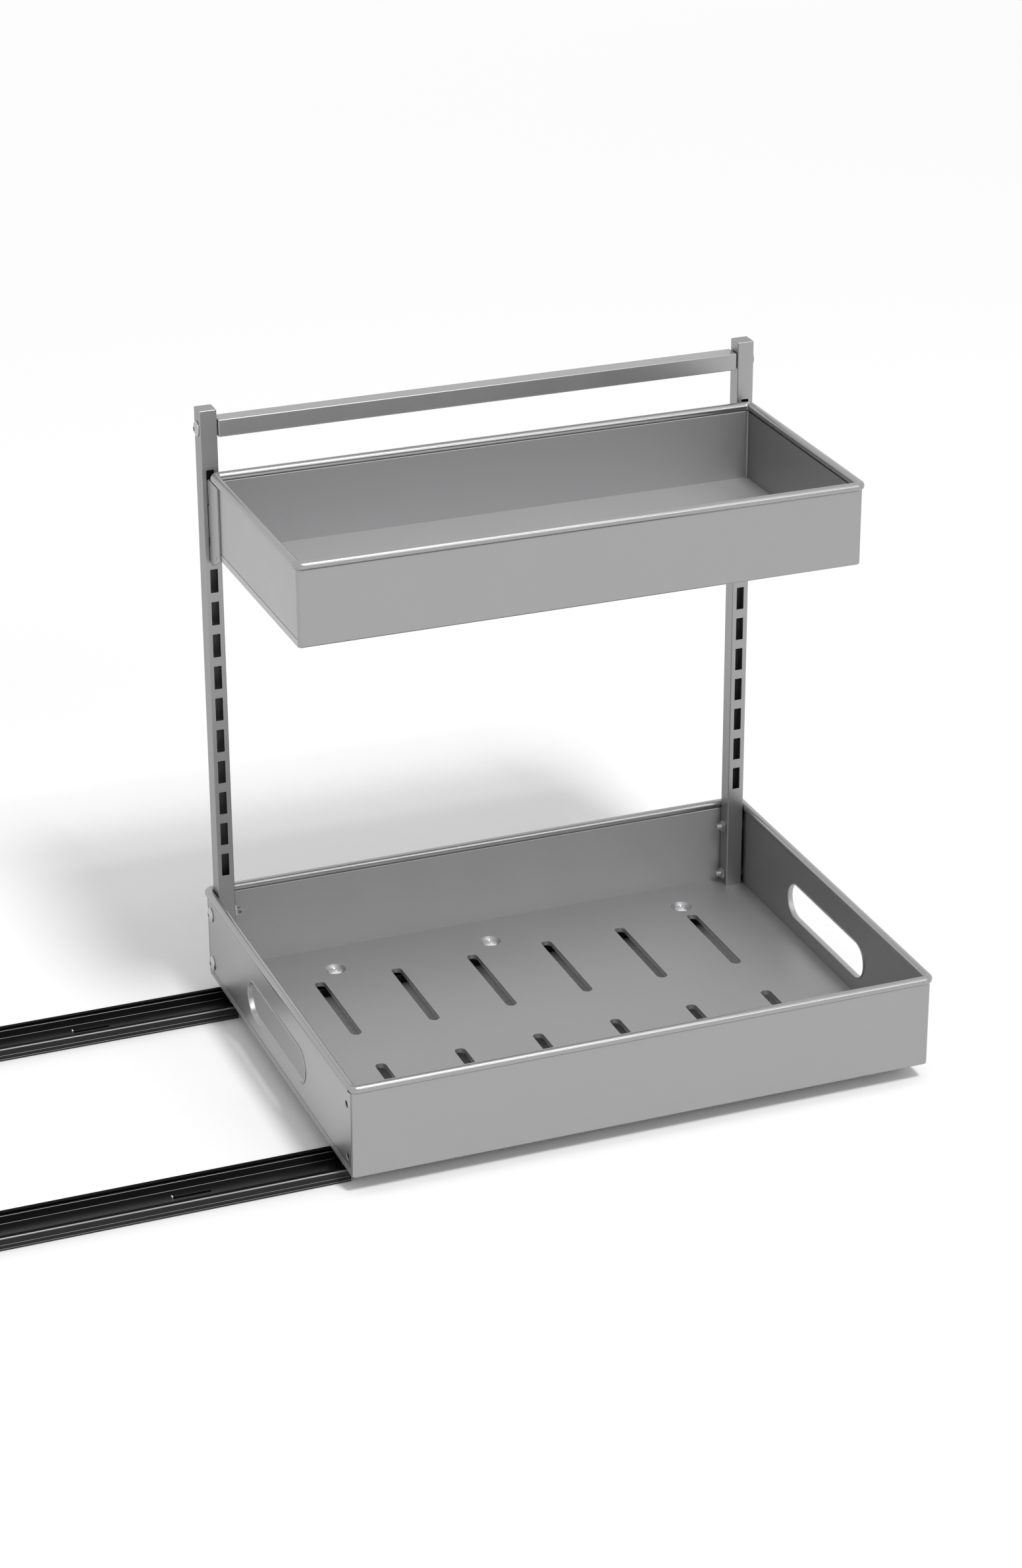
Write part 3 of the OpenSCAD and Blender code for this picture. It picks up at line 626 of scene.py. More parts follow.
class Repeater:
    """Geometry Nodes trees that copy one shape to many places and give it its finish."""

    def __init__(self, name: str, shape: Object) -> None:
        """Keeps what is repeated.

        Args:
            name: Name of the piece that results.
            shape: The shape in its finish, drawn about the origin. It is removed afterwards.
        """
        self.name = name
        self.shape = shape
        self.material = shape.data.materials[0]

    def _tree(self, sockets: dict[str, str]) -> tuple[bpy.types.NodeTree, Wiring, dict[str, Socket]]:
        """Starts a tree with a geometry in and out, the shape and the other named inputs.

        Args:
            sockets: Types of the other inputs by name.

        Returns:
            The tree, its wiring and what its inputs give, by name.
        """
        tree = bpy.data.node_groups.new(self.name + "_repeat", "GeometryNodeTree")
        tree.interface.new_socket("Geometry", in_out="OUTPUT", socket_type="NodeSocketGeometry")
        kinds = {"Geometry": "NodeSocketGeometry", "Shape": "NodeSocketObject"} | sockets
        for label, kind in kinds.items():
            tree.interface.new_socket(label, in_out="INPUT", socket_type=kind)
        start = tree.nodes.new("NodeGroupInput")
        return tree, Wiring(tree), {label: start.outputs[label] for label in kinds}

    def _finish(self, wiring: Wiring, given: dict[str, Socket], spots: dict[str, Socket]) -> None:
        """Puts the shape on the points, makes it real and gives it its finish.

        Args:
            wiring: The tree's wiring.
            given: What the tree's inputs give.
            spots: The points and, if the copies turn, their rotation.
        """
        shape = wiring.add("GeometryNodeObjectInfo", {"Object": given["Shape"]}, "Geometry")
        copies = wiring.add("GeometryNodeInstanceOnPoints", {"Instance": shape} | spots, "Instances")
        real = wiring.add("GeometryNodeRealizeInstances", {"Geometry": copies}, "Geometry")
        dressed = wiring.add("GeometryNodeSetMaterial", {
            "Geometry": real, "Material": self.material}, "Geometry")
        wiring.feed(wiring.nodes.new("NodeGroupOutput"), {"Geometry": dressed})

    def _run(self, mesh: bpy.types.Mesh, tree: bpy.types.NodeTree, values: dict[str, object]) -> Object:
        """Sets the inputs, evaluates the tree and returns the plain result.

        Args:
            mesh: The mesh that the tree starts from.
            tree: The tree.
            values: Values of its other inputs, by name.

        Returns:
            One plain mesh object.
        """
        holder = placed(self.name + "_holder", mesh)
        modifier = holder.modifiers.new("repeat", "NODES")
        modifier.node_group = tree
        values = values | {"Shape": self.shape}
        for item in tree.interface.items_tree:
            if item.in_out == "INPUT" and item.name in values:
                modifier[item.identifier] = values[item.name]
        bpy.context.view_layer.update()
        ready = holder.evaluated_get(bpy.context.evaluated_depsgraph_get())
        result = bpy.data.meshes.new_from_object(ready)
        result.name = self.name
        if not result.materials:
            result.materials.append(self.material)
        made = placed(self.name, result)
        holder.modifiers.remove(modifier)
        bpy.data.objects.remove(holder)
        bpy.data.objects.remove(self.shape)
        return made

    def at(self, places: list[Place]) -> Object:
        """Copies the shape to listed places, as one plain mesh object.

        Args:
            places: The places and turns.

        Returns:
            One plain mesh object.
        """
        mesh = bpy.data.meshes.new(self.name + "_places")
        mesh.from_pydata([(p.x * MM, p.y * MM, p.z * MM) for p in places], [], [])
        turns = mesh.attributes.new("turn", "FLOAT_VECTOR", "POINT")
        for item, p in zip(turns.data, places):
            item.vector = [math.radians(a) for a in p.turn]
        tree, wiring, given = self._tree({})
        turn = wiring.add("GeometryNodeInputNamedAttribute", {"Name": "turn"}, "Attribute",
                          data_type="FLOAT_VECTOR")
        points = wiring.add("GeometryNodeMeshToPoints", {"Mesh": given["Geometry"]}, "Points")
        self._finish(wiring, given, {"Points": points, "Rotation": turn})
        return self._run(mesh, tree, {})

    def grid(self, centre: Place, count: tuple[int, int], pitch: Pair) -> Object:
        """Copies the shape to a level grid.

        Args:
            centre: Centre of the grid.
            count: Copies along X and Y.
            pitch: Distance between them along X and Y.

        Returns:
            One plain mesh object.
        """
        tree, wiring, given = self._tree({"Centre": "NodeSocketVector",
                                          "Count X": "NodeSocketInt", "Pitch X": "NodeSocketFloat",
                                          "Count Y": "NodeSocketInt", "Pitch Y": "NodeSocketFloat"})
        sizes = {}
        for axis in "XY":
            number = given["Count " + axis]
            gaps = wiring.combine("SUBTRACT", number, 1.0)
            sizes["Size " + axis] = wiring.combine("MULTIPLY", gaps, given["Pitch " + axis])
            sizes["Vertices " + axis] = number
        lattice = wiring.add("GeometryNodeMeshGrid", sizes, "Mesh")
        points = wiring.add("GeometryNodeTransform", {
            "Geometry": lattice, "Translation": given["Centre"]}, "Geometry")
        self._finish(wiring, given, {"Points": points})
        return self._run(bpy.data.meshes.new(self.name + "_places"), tree, {
            "Centre": (centre.x * MM, centre.y * MM, centre.z * MM),
            "Count X": count[0], "Pitch X": pitch[0] * MM, "Count Y": count[1], "Pitch Y": pitch[1] * MM})


def joined(name: str, parts: list[Object]) -> Object:
    """Puts several plain objects of one finish order into one.

    Args:
        name: Name of the result.
        parts: The objects, which are removed.

    Returns:
        The joined object.
    """
    work = bmesh.new()
    materials: list[Material] = []
    for part in parts:
        start = len(work.faces)
        work.from_mesh(part.data)
        work.faces.ensure_lookup_table()
        numbers = []
        for material in part.data.materials:
            if material not in materials:
                materials.append(material)
            numbers.append(materials.index(material))
        for item in work.faces[start:]:
            item.material_index = numbers[min(item.material_index, len(numbers) - 1)]
    mesh = bpy.data.meshes.new(name)
    work.to_mesh(mesh)
    work.free()
    for material in materials:
        mesh.materials.append(material)
    made = placed(name, mesh)
    for part in parts:
        bpy.data.objects.remove(part)
    return made


# Sheet metal boxes


@dataclass
class Assembly:
    """A part of the basket that is made in one go.

    Attributes:
        finishes: The finishes that its pieces are dressed in.
    """

    finishes: Finishes


@dataclass
class SheetBox(Assembly):
    """An open box of folded sheet with double walls and a tube round its top.

    Attributes:
        name: Start of the names of its pieces, and of the CAD nodes that they stand for.
        body: The body it rides on.
        x: Centre of the box.
        y: Centre of the box.
        z: Lower edge of the box.
        length: Length along X.
        width: Width along Y.
        height: Height of the rim's centre above the lower edge.
        wall: From the outer face of a wall to its inner face.
        skin: Thickness of a wall's two sheets.
        lap: Depth of the fold along a long wall's foot.
        foot: Height of the floor's end strips.
        ledge_drop: From the rim's centre down to the fold of a long wall's inner skin.
        ledge_fall: How far that fold slopes down to the outer skin.
        ledge_share: Part of the slope that its underside takes up at the inner skin.
        ledge_roll: Radius of the fold.
    """

    name: str
    body: Body
    x: float
    y: float
    z: float
    length: float
    width: float
    height: float
    wall: float = 3.4
    skin: float = 1.0
    seam: float = 0.03
    end_seam: float = 0.6
    foot_seam: float = 0.6
    floor_top: float = 4.2
    foot: float = 6.4
    floor_sheet: float = 1.2
    floor_bend: float = 4.0
    corner_r: float = 3.0
    edge_r: float = 2.0
    inner_r: float = 0.9
    lap: float = 2.6
    flange: float = 14.0
    weld: float = 1.5
    weld_drop: float = 0.6
    arris: float = 0.2
    hole_arris: float = 0.25
    overlap: float = 0.05
    rim_r: float = 4.0
    rim_inset: float = 1.0
    rim_bend: float = 5.0
    rim_seat: float = 2.5
    ledge_drop: float = 3.1
    ledge_fall: float = 1.5
    ledge_share: float = 0.4
    ledge_under_r: float = 0.1
    ledge_roll: float = 0.9
    end_ledge_drop: float = 3.1
    end_ledge_roll: float = 0.9
    hook: float = 2.0

    def lining(self) -> Material:
        """The finish of the long walls' inner skins, lighter than the sheet: a painted light."""
        return self.finishes.tray_lining

    def floor_finish(self) -> Material:
        """The finish of the floor, lighter than the sheet: a painted light."""
        return self.finishes.lining

    def wall_holes(self) -> list[tuple[Loop, float, float]]:
        """Holes of an end wall as outline, growth in each skin, and arris radius. A plain box has none."""
        return []

    def floor_holes(self) -> list[tuple[Loop, list[Pair]]]:
        """Holes of the floor with their sections. A plain box has none."""
        return []

    def long_wall(self, back: bool) -> Draft:
        """Drafts the front or back wall: outer skin round both corners, folded top ledge, and foot flange.

        Args:
            back: Whether it is the back wall.

        Returns:
            The draft.
        """
        draft = Draft()
        turn = Matrix.Rotation(math.pi if back else 0, 4, "Z")
        draft.turn = Matrix.Translation((self.x, self.y, self.z)) @ turn
        a, b, top = self.length / 2, self.width / 2, self.height - self.rim_seat
        wall, skin, ledge, fall = self.wall, self.skin, self.height - self.ledge_drop, self.ledge_fall
        r = self.corner_r
        plan = rounded([(-a, wall - b, 0), (-a, -b, r), (a, -b, r), (a, wall - b, 0)], False, 6)
        outer = [(0, top, 0), (0, 0, self.edge_r), (self.lap, 0, 0), (self.lap, skin, 0),
                 (skin, skin, self.inner_r), (skin, top, 0)]
        draft.band(plan, False, rounded(outer, True, 5), True)
        under = ledge - skin - self.ledge_share * fall
        inner = [(wall, 0, 0), (wall, ledge, self.ledge_roll), (skin, ledge - fall, 0),
                 (skin, ledge - fall - skin, 0), (wall - skin, under, self.ledge_under_r),
                 (wall - skin, 0, 0)]
        draft.finish = 1
        draft.band([(wall - a, -b), (a - wall, -b)], False, rounded(inner, True, 4), True)
        draft.finish = 0
        foot = a - self.floor_sheet - self.seam
        draft.plate([(oblong(-foot, self.lap - b, foot, self.flange - b), edge_ring(skin, 0, self.arris))])
        return draft

    def end_wall(self, side: int) -> Draft:
        """Drafts an end wall: two skins with their holes, the folded ledge and the welds in the corners.

        Args:
            side: 1 for the right end and -1 for the left.

        Returns:
            The draft.
        """
        draft = Draft()
        draft.turn = Facing.end(side).at(self.x + side * self.length / 2, self.y, self.z)
        low, top = self.floor_top + self.seam, self.height - self.rim_seat
        half = self.width / 2 - self.wall - self.seam
        outer_half = self.width / 2 - self.wall - self.end_seam
        wall, skin, ledge, fall = self.wall, self.skin, self.height - self.end_ledge_drop, self.ledge_fall
        crest, back, hook = ledge - self.end_ledge_roll - self.overlap, wall - self.overlap, self.hook
        outer = [(oblong(-outer_half, self.foot + self.foot_seam, outer_half, top),
                  edge_ring(0, -skin, self.hole_arris))]
        inner = [(oblong(-half, low, half, crest), edge_ring(skin - wall, -wall, 0))]
        for path, growth, arris in self.wall_holes():
            grown = hole(offset(path, -growth))
            outer.append((grown, edge_ring(0, -skin, arris)))
            inner.append((grown, edge_ring(skin - wall, -wall, arris)))
        draft.plate(outer)
        draft.finish = 1
        draft.plate(inner)
        turn = draft.turn
        draft.turn = turn @ Matrix(((0, 0, 1, 0), (0, 1, 0, 0), (1, 0, 0, 0), (0, 0, 0, 1)))
        under = ledge - skin - self.ledge_share * fall
        fold = [(-back, ledge - hook, 0), (-back, crest, 0), (-wall, crest, 0),
                (-wall, ledge, self.end_ledge_roll), (-skin, ledge - fall, 0),
                (-skin, ledge - fall - skin, 0), (skin - wall, under, self.ledge_under_r),
                (skin - wall, ledge - hook, 0)]
        draft.bar(rounded(fold, True, 4), -half, half)
        draft.turn = turn @ Matrix(((1, 0, 0, 0), (0, 0, 1, 0), (0, 1, 0, 0), (0, 0, 0, 1)))
        for end in (-1, 1):
            bead = rounded([(end * half, -wall, 0), (end * (half - self.weld), -wall, self.arris),
                            (end * half, -wall - self.weld, self.arris)], True, 3)
            draft.bar(bead, low, ledge - self.weld_drop, self.arris)
        draft.turn = turn
        draft.finish = 0
        return draft

    def floor(self) -> Draft:
        """Drafts the floor: the pressed sheet and the edges folded down at its four sides.

        Returns:
            The draft.
        """
        draft = Draft()
        draft.turn = Matrix.Translation((self.x, self.y, self.z))
        a, half = self.length / 2, self.width / 2 - self.wall - self.seam
        bend, top, under = a - self.floor_bend, self.floor_top, self.floor_top - self.floor_sheet
        draft.plate([(oblong(-bend, -half, bend, half), [(0, top), (0, under)])]
                    + [(hole(path), rings) for path, rings in self.floor_holes()])
        turn = draft.turn
        for side in (-1, 1):
            edge, strip = side * a, side * (a - self.floor_sheet)
            draft.turn = turn @ Facing.FRONT.at()
            fold = [(side * bend, top, 0), (strip, top, 0.3), (strip, self.foot, 0.2),
                    (edge, self.foot, 0.15), (edge, 0, 0.5), (strip, 0, 0.3), (strip, under, 0.3),
                    (side * bend, under, 0)]
            draft.bar(rounded(fold, True, 5), -half, half)
            draft.turn = turn @ Facing.RIGHT.at()
            outer, inner = side * half, side * (half - self.floor_sheet)
            draft.bar([(outer, self.skin), (outer, under), (inner, under), (inner, self.skin)], -bend, bend)
        return draft

    def rim(self) -> Draft:
        """Drafts the tube round the top.

        Returns:
            The draft.
        """
        draft = Draft()
        draft.turn = Matrix.Translation((self.x, self.y, self.z + self.height))
        path = box_path(self.length - 2 * self.rim_inset, self.width - 2 * self.rim_inset, self.rim_bend, 10)
        draft.band(path, True, circle_path(self.rim_r, 28), True)
        return draft

    def build(self) -> None:
        """Makes every piece of the box and dresses it in its finish."""
        # The end walls take a lighter outer and a darker inner grey, painted light and painted shade.
        walls, ends = [self.finishes.sheet, self.lining()], [self.finishes.end_outer_painted_light, self.finishes.end_inner_painted_shade]
        for part, draft, dress in (("front_wall", self.long_wall(False), walls),
                                   ("back_wall", self.long_wall(True), walls),
                                   ("end_left", self.end_wall(-1), ends),
                                   ("end_right", self.end_wall(1), ends),
                                   ("floor", self.floor(), [self.floor_finish()])):
            settle(draft.object(f"{self.name}_{part}_folded", dress), self.body, Slot.SHEET,
                   f"{self.name}_{part}")
        settle(self.rim().object(f"{self.name}_rim_bead", [self.finishes.tube]), self.body, Slot.TUBE,
               f"{self.name}_rim")


@dataclass
class LowerTray(SheetBox):
    """The lower tray with hand holes, bolt holes, flanged floor slots and dished screw seats."""

    end_ledge_drop: float = 2.5
    end_ledge_roll: float = 0.25
    hand_length: float = 160.0
    hand_height: float = 34.0
    hand_z: float = 38.5
    lip: float = 1.4
    lip_out: float = 1.0
    bolt_hole: float = 6.4
    bolt_rows: Pair = (15.0, 65.3)
    bolt_y: float = 190.8
    slot_count: int = 6
    slot_pitch: float = 75.2
    slot_length: float = 110.0
    slot_width: float = 10.0
    slot_shift: float = 3.3
    slot_row: float = 84.0
    slot_depth: float = 5.0
    slot_lip: float = 1.0
    slot_roll: float = 0.3
    screw_x: Point = (-162.0, -7.0, 190.5)
    screw_y: float = 158.0
    screw_hole_r: float = 3.3
    dish_top: float = 19.5
    dish_seat: float = 15.2
    dish_depth: float = 3.4

    def hand_hole(self) -> Loop:
        """The outline of the hand hole in an end wall."""
        return moved(oval_path(self.hand_length, self.hand_height, 20), 0, self.hand_z)

    def slot(self) -> Loop:
        """The outline of a floor slot about the origin, running clockwise, with its length along Y."""
        return [(y, x) for x, y in oval_path(self.slot_length, self.slot_width, 14)]

    def wall_holes(self) -> list[tuple[Loop, float, float]]:
        """The hand hole and the four bolt holes.

        Returns:
            Outline, growth in each skin and arris radius of each hole.
        """
        bolt = circle_path(self.bolt_hole / 2, 28)
        return [(self.hand_hole(), self.lip / 2, 0.0)] + [
            (moved(bolt, y, z), 0.0, self.hole_arris)
            for y in (-self.bolt_y, self.bolt_y) for z in self.bolt_rows]

    def end_wall(self, side: int) -> Draft:
        """Adds the rolled lip of the hand hole to the plain end wall.

        Args:
            side: 1 for the right end and -1 for the left.

        Returns:
            The draft.
        """
        draft = super().end_wall(side)
        out, inn, r = self.lip_out, -self.wall - self.lip_out, self.lip / 2 - self.overlap
        arc = [(self.lip / 2 - r * math.cos(a), r * math.sin(a)) for a in (math.pi * k / 8 for k in range(9))]
        section = [(d, out - r + h) for d, h in arc] + [(self.lip - d, inn + r - h) for d, h in arc]
        draft.band(self.hand_hole(), True, [(-d, z) for d, z in section], True)
        return draft

    def floor_holes(self) -> list[tuple[Loop, list[Pair]]]:
        """Screw seats in the floor; the slots' holes, whose rolled collars are pieces of their own.

        Returns:
            Outline and section of each hole.
        """
        top, sheet = self.floor_top, self.floor_sheet
        cut = [(self.slot_roll, top), (self.slot_roll, top - sheet)]
        holes = []
        for row in (-1, 1):
            for i in range(self.slot_count):
                place = (i - (self.slot_count - 1) / 2) * self.slot_pitch + self.slot_shift
                holes.append((moved(hole(self.slot()), place, row * self.slot_row), cut))
        rim, base = self.dish_top / 2, top - self.dish_depth
        seat, bore = self.dish_seat / 2 - rim, self.screw_hole_r - rim
        dish = [(0.6, top), (0.3, top - 0.08), (0.07, top - 0.3), (0.0, top - 0.55), (seat + 0.4, base + 0.5),
                (seat - 0.3, base), (bore, base), (bore, base - sheet), (seat + 0.6, base - sheet),
                (sheet, top - sheet)]
        return holes + [(moved(circle_path(rim, 36), x, side * self.screw_y), dish)
                        for side in (-1, 1) for x in self.screw_x]

    def collars(self) -> None:
        """Makes the rolled collars that are drawn down round the floor slots."""
        draft = Draft()
        low, lip = -self.slot_depth, self.slot_lip
        section = [(d, -h) for d, h in quarter(self.slot_roll, 5)] + [
            (0.0, low + 0.3), (0.1, low + 0.1), (0.3, low), (lip - 0.3, low), (lip - 0.1, low + 0.1),
            (lip, low + 0.3), (lip, -self.floor_sheet - 0.2), (self.slot_roll, -self.floor_sheet)]
        draft.band(self.slot(), True, section, True)
        # The collars take the tray floor's lighter grey, a painted light.
        shape = draft.object("slot_collar", [self.finishes.lining])
        middle = Place(self.x + self.slot_shift, self.y, self.z + self.floor_top)
        piece = Repeater("tray_floor_slot_collars", shape).grid(
            middle, (self.slot_count, 2), (self.slot_pitch, 2 * self.slot_row))
        settle(piece, self.body, Slot.SHEET)

    def build(self) -> None:
        """Makes the tray and its slot collars."""
        super().build()
        self.collars()


@dataclass
class UpperShelf(SheetBox):
    """The upper shelf, a smaller box with a floor painted paler, a painted light, and inner sheets painted
    darker, a painted shade.
    """

    def lining(self) -> Material:
        """The darker finish of the long walls' inner skins, a painted shade."""
        return self.finishes.shelf_lining

    def floor_finish(self) -> Material:
        """The paler finish of the shelf's floor, a painted light."""
        return self.finishes.shelf_floor


# Posts, crossbar and hook plates


@dataclass
class Uprights(Assembly):
    """The two slotted posts, the crossbar with its end plugs, and the shelf's hook plates."""

    x: float = 532.0
    post_x: float = 256.8
    post_y: float = 190.8
    width: float = 16.0
    sheet: float = 1.5
    corner_r: float = 1.0
    foot: float = 20.9
    top: float = 572.7
    slot_width: float = 7.0
    slot_height: float = 22.0
    slot_pitch: float = 31.0
    slot_first: float = 134.7
    slot_count: int = 13
    slot_r: float = 0.35
    arris: float = 0.2
    bar_z: float = 554.7
    bar_gap: float = 1.0
    bar_end_r: float = 1.2
    plug: float = 14.0
    plug_r: float = 1.0
    hook_sheet: float = 2.0
    hook_x: float = 258.0
    hook_slot: int = 10
    hook_width: float = 28.5
    hook_top: float = 66.0
    hook_relief: float = 2.8
    hook_play: float = 0.3
    hook_lip: float = 7.0
    hook_thick: float = 3.0
    hook_neck: float = 12.0
    hook_shares: Point = (0.14, 0.45, 0.12)
    lock_place: Pair = (-19.7, -2.2)
    lock_r: float = 1.0

    def post(self, side: int) -> Draft:
        """Drafts one post: three plain sides, the slotted front, the closed top and the inside in a dark
        grey, a painted shade.

        Args:
            side: 1 for the right post and -1 for the left.

        Returns:
            The draft.
        """
        draft = Draft()
        draft.turn = Matrix.Translation((self.x + side * self.post_x, self.post_y, 0))
        half, r, t, foot = self.width / 2, self.corner_r, self.sheet, self.foot
        flat, shoulder = half - r - 0.1, self.top - r
        around = rounded([(flat, -half, 0), (half, -half, r), (half, half, r), (-half, half, r),
                          (-half, -half, r), (-flat, -half, 0)], False, 6)
        draft.band(around, False, [(0, foot), (0, shoulder - SUPPORT)])
        crown = [(d, self.top - h) for d, h in reversed(quarter(r, 6))]
        draft.band(box_path(self.width, self.width, r, 6), True, [(0.0, shoulder - SUPPORT)] + crown)
        draft.cap([oblong(r - half, r - half, half - r, half - r)], self.top)
        draft.finish = 1
        draft.band(around, False, [(t, foot), (t, self.top - t)])
        draft.cap([oblong(t - half, t - half, half - t, half - t)], self.top - t)
        draft.finish = 0
        draft.band(around, False, [(0, foot), (t, foot)])
        loops = [(oblong(-flat, foot, flat, shoulder - SUPPORT), [(0, 0), (0, -t)])]
        slot = box_path(self.slot_width, self.slot_height, self.slot_r, 2)
        for i in range(self.slot_count):
            centre = self.slot_first + i * self.slot_pitch
            loops.append((hole(moved(slot, 0, centre)), edge_ring(0, -t, self.arris)))
        draft.turn = Facing.FRONT.at(self.x + side * self.post_x, self.post_y - half)
        draft.plate(loops)
        return draft

    def bar(self) -> Draft:
        """Drafts the crossbar tube.

        Returns:
            The draft.
        """
        draft = Draft()
        half = self.post_x - self.width / 2 - self.bar_gap
        draft.turn = Facing.RIGHT.at(self.x, self.post_y, self.bar_z)
        turn = [(d, half - h) for d, h in quarter(self.bar_end_r, 6)]
        draft.band(box_path(self.width, self.width, self.corner_r, 6), True,
                   [(d, -z) for d, z in turn] + [(d, z) for d, z in reversed(turn)]
                   + [(self.sheet, half), (self.sheet, -half)], True)
        return draft

    def plugs(self) -> Draft:
        """Drafts the dark plugs that close the crossbar's ends.

        Returns:
            The draft.
        """
        draft = Draft()
        half = self.post_x - self.width / 2 - self.bar_gap
        inner = self.width - 2 * self.sheet - 0.2
        for side in (-1, 1):
            draft.turn = Facing.end(side).at(self.x, self.post_y, self.bar_z)
            draft.bar(box_path(inner, inner, self.plug_r, 4), half - self.plug, half + self.bar_gap,
                      self.arris)
        return draft

    def hook_plate(self, side: int) -> Draft:
        """Drafts one hook plate: the web beside the shelf's end and three hooks in the post's slots.

        Args:
            side: 1 for the right plate and -1 for the left.

        Returns:
            The draft.
        """
        draft = Draft()
        draft.turn = Facing.end(side).at(self.x + side * self.hook_x, self.post_y - self.width / 2,
                                         self.slot_first + self.hook_slot * self.slot_pitch)
        width, top, relief = self.hook_width, self.hook_top, self.hook_relief
        play, lip = self.hook_play, self.hook_lip
        low, neck, back = play - self.slot_height / 2, self.hook_neck - 2 * play, self.sheet + play
        tip = back + self.hook_thick
        corners: list[Corner] = [(-width, top, 0.5), (-width, -3, 1.5), (-6, -14, 1.5), (-relief, -14, 0.8)]
        for i, share in enumerate(self.hook_shares):
            base = i * self.slot_pitch
            foot, shoulder, crown = base + low, base + low + neck, base + share * self.slot_height
            corners += [(-relief, foot, 0.3), (back, foot, 0.3), (back, foot - lip, 0.8),
                        (tip, foot - lip, 1.4), (tip, shoulder, 1.8), (-play, shoulder, 0.2),
                        (-play, crown, 0.4), (-relief, crown, 0.2)]
        outline = rounded(corners + [(-relief, top, 0.4)], True, 5)
        if side < 0:
            outline = [(-x, y) for x, y in outline][::-1]
        lock = hole(moved(circle_path(self.lock_r, 20), side * self.lock_place[0], self.lock_place[1]))
        ring = edge_ring(self.hook_sheet, 0, 0.3)
        draft.plate([(outline, ring), (lock, ring)])
        return draft

    def build(self) -> None:
        """Makes the posts, the crossbar, its plugs and the hook plates."""
        for side, label in ((-1, "left"), (1, "right")):
            post = self.post(side).object(f"slotted_post_{label}", [self.finishes.post, self.finishes.hollow_painted_shade])
            settle(post, Body.BASKET, Slot.TUBE, f"post_{label}")
            settle(self.hook_plate(side).object(f"hook_plate_{label}", [self.finishes.sheet]),
                   Body.SHELF, Slot.SHEET, f"shelf_bracket_{label}")
        settle(self.bar().object("crossbar_tube", [self.finishes.bar]), Body.BASKET, Slot.TUBE, "crossbar")
        settle(self.plugs().object("crossbar_end_plugs", [self.finishes.plug]), Body.BASKET, Slot.PLASTIC,
               "crossbar_plugs")


# Slides


class RailFinish(Enum):
    """Numbers of the finishes on a member's rolled sides: plain lacquer, a painted highlight and a painted
    shade.
    """

    LACQUER = 0
    WORN = 1
    LIP = 2


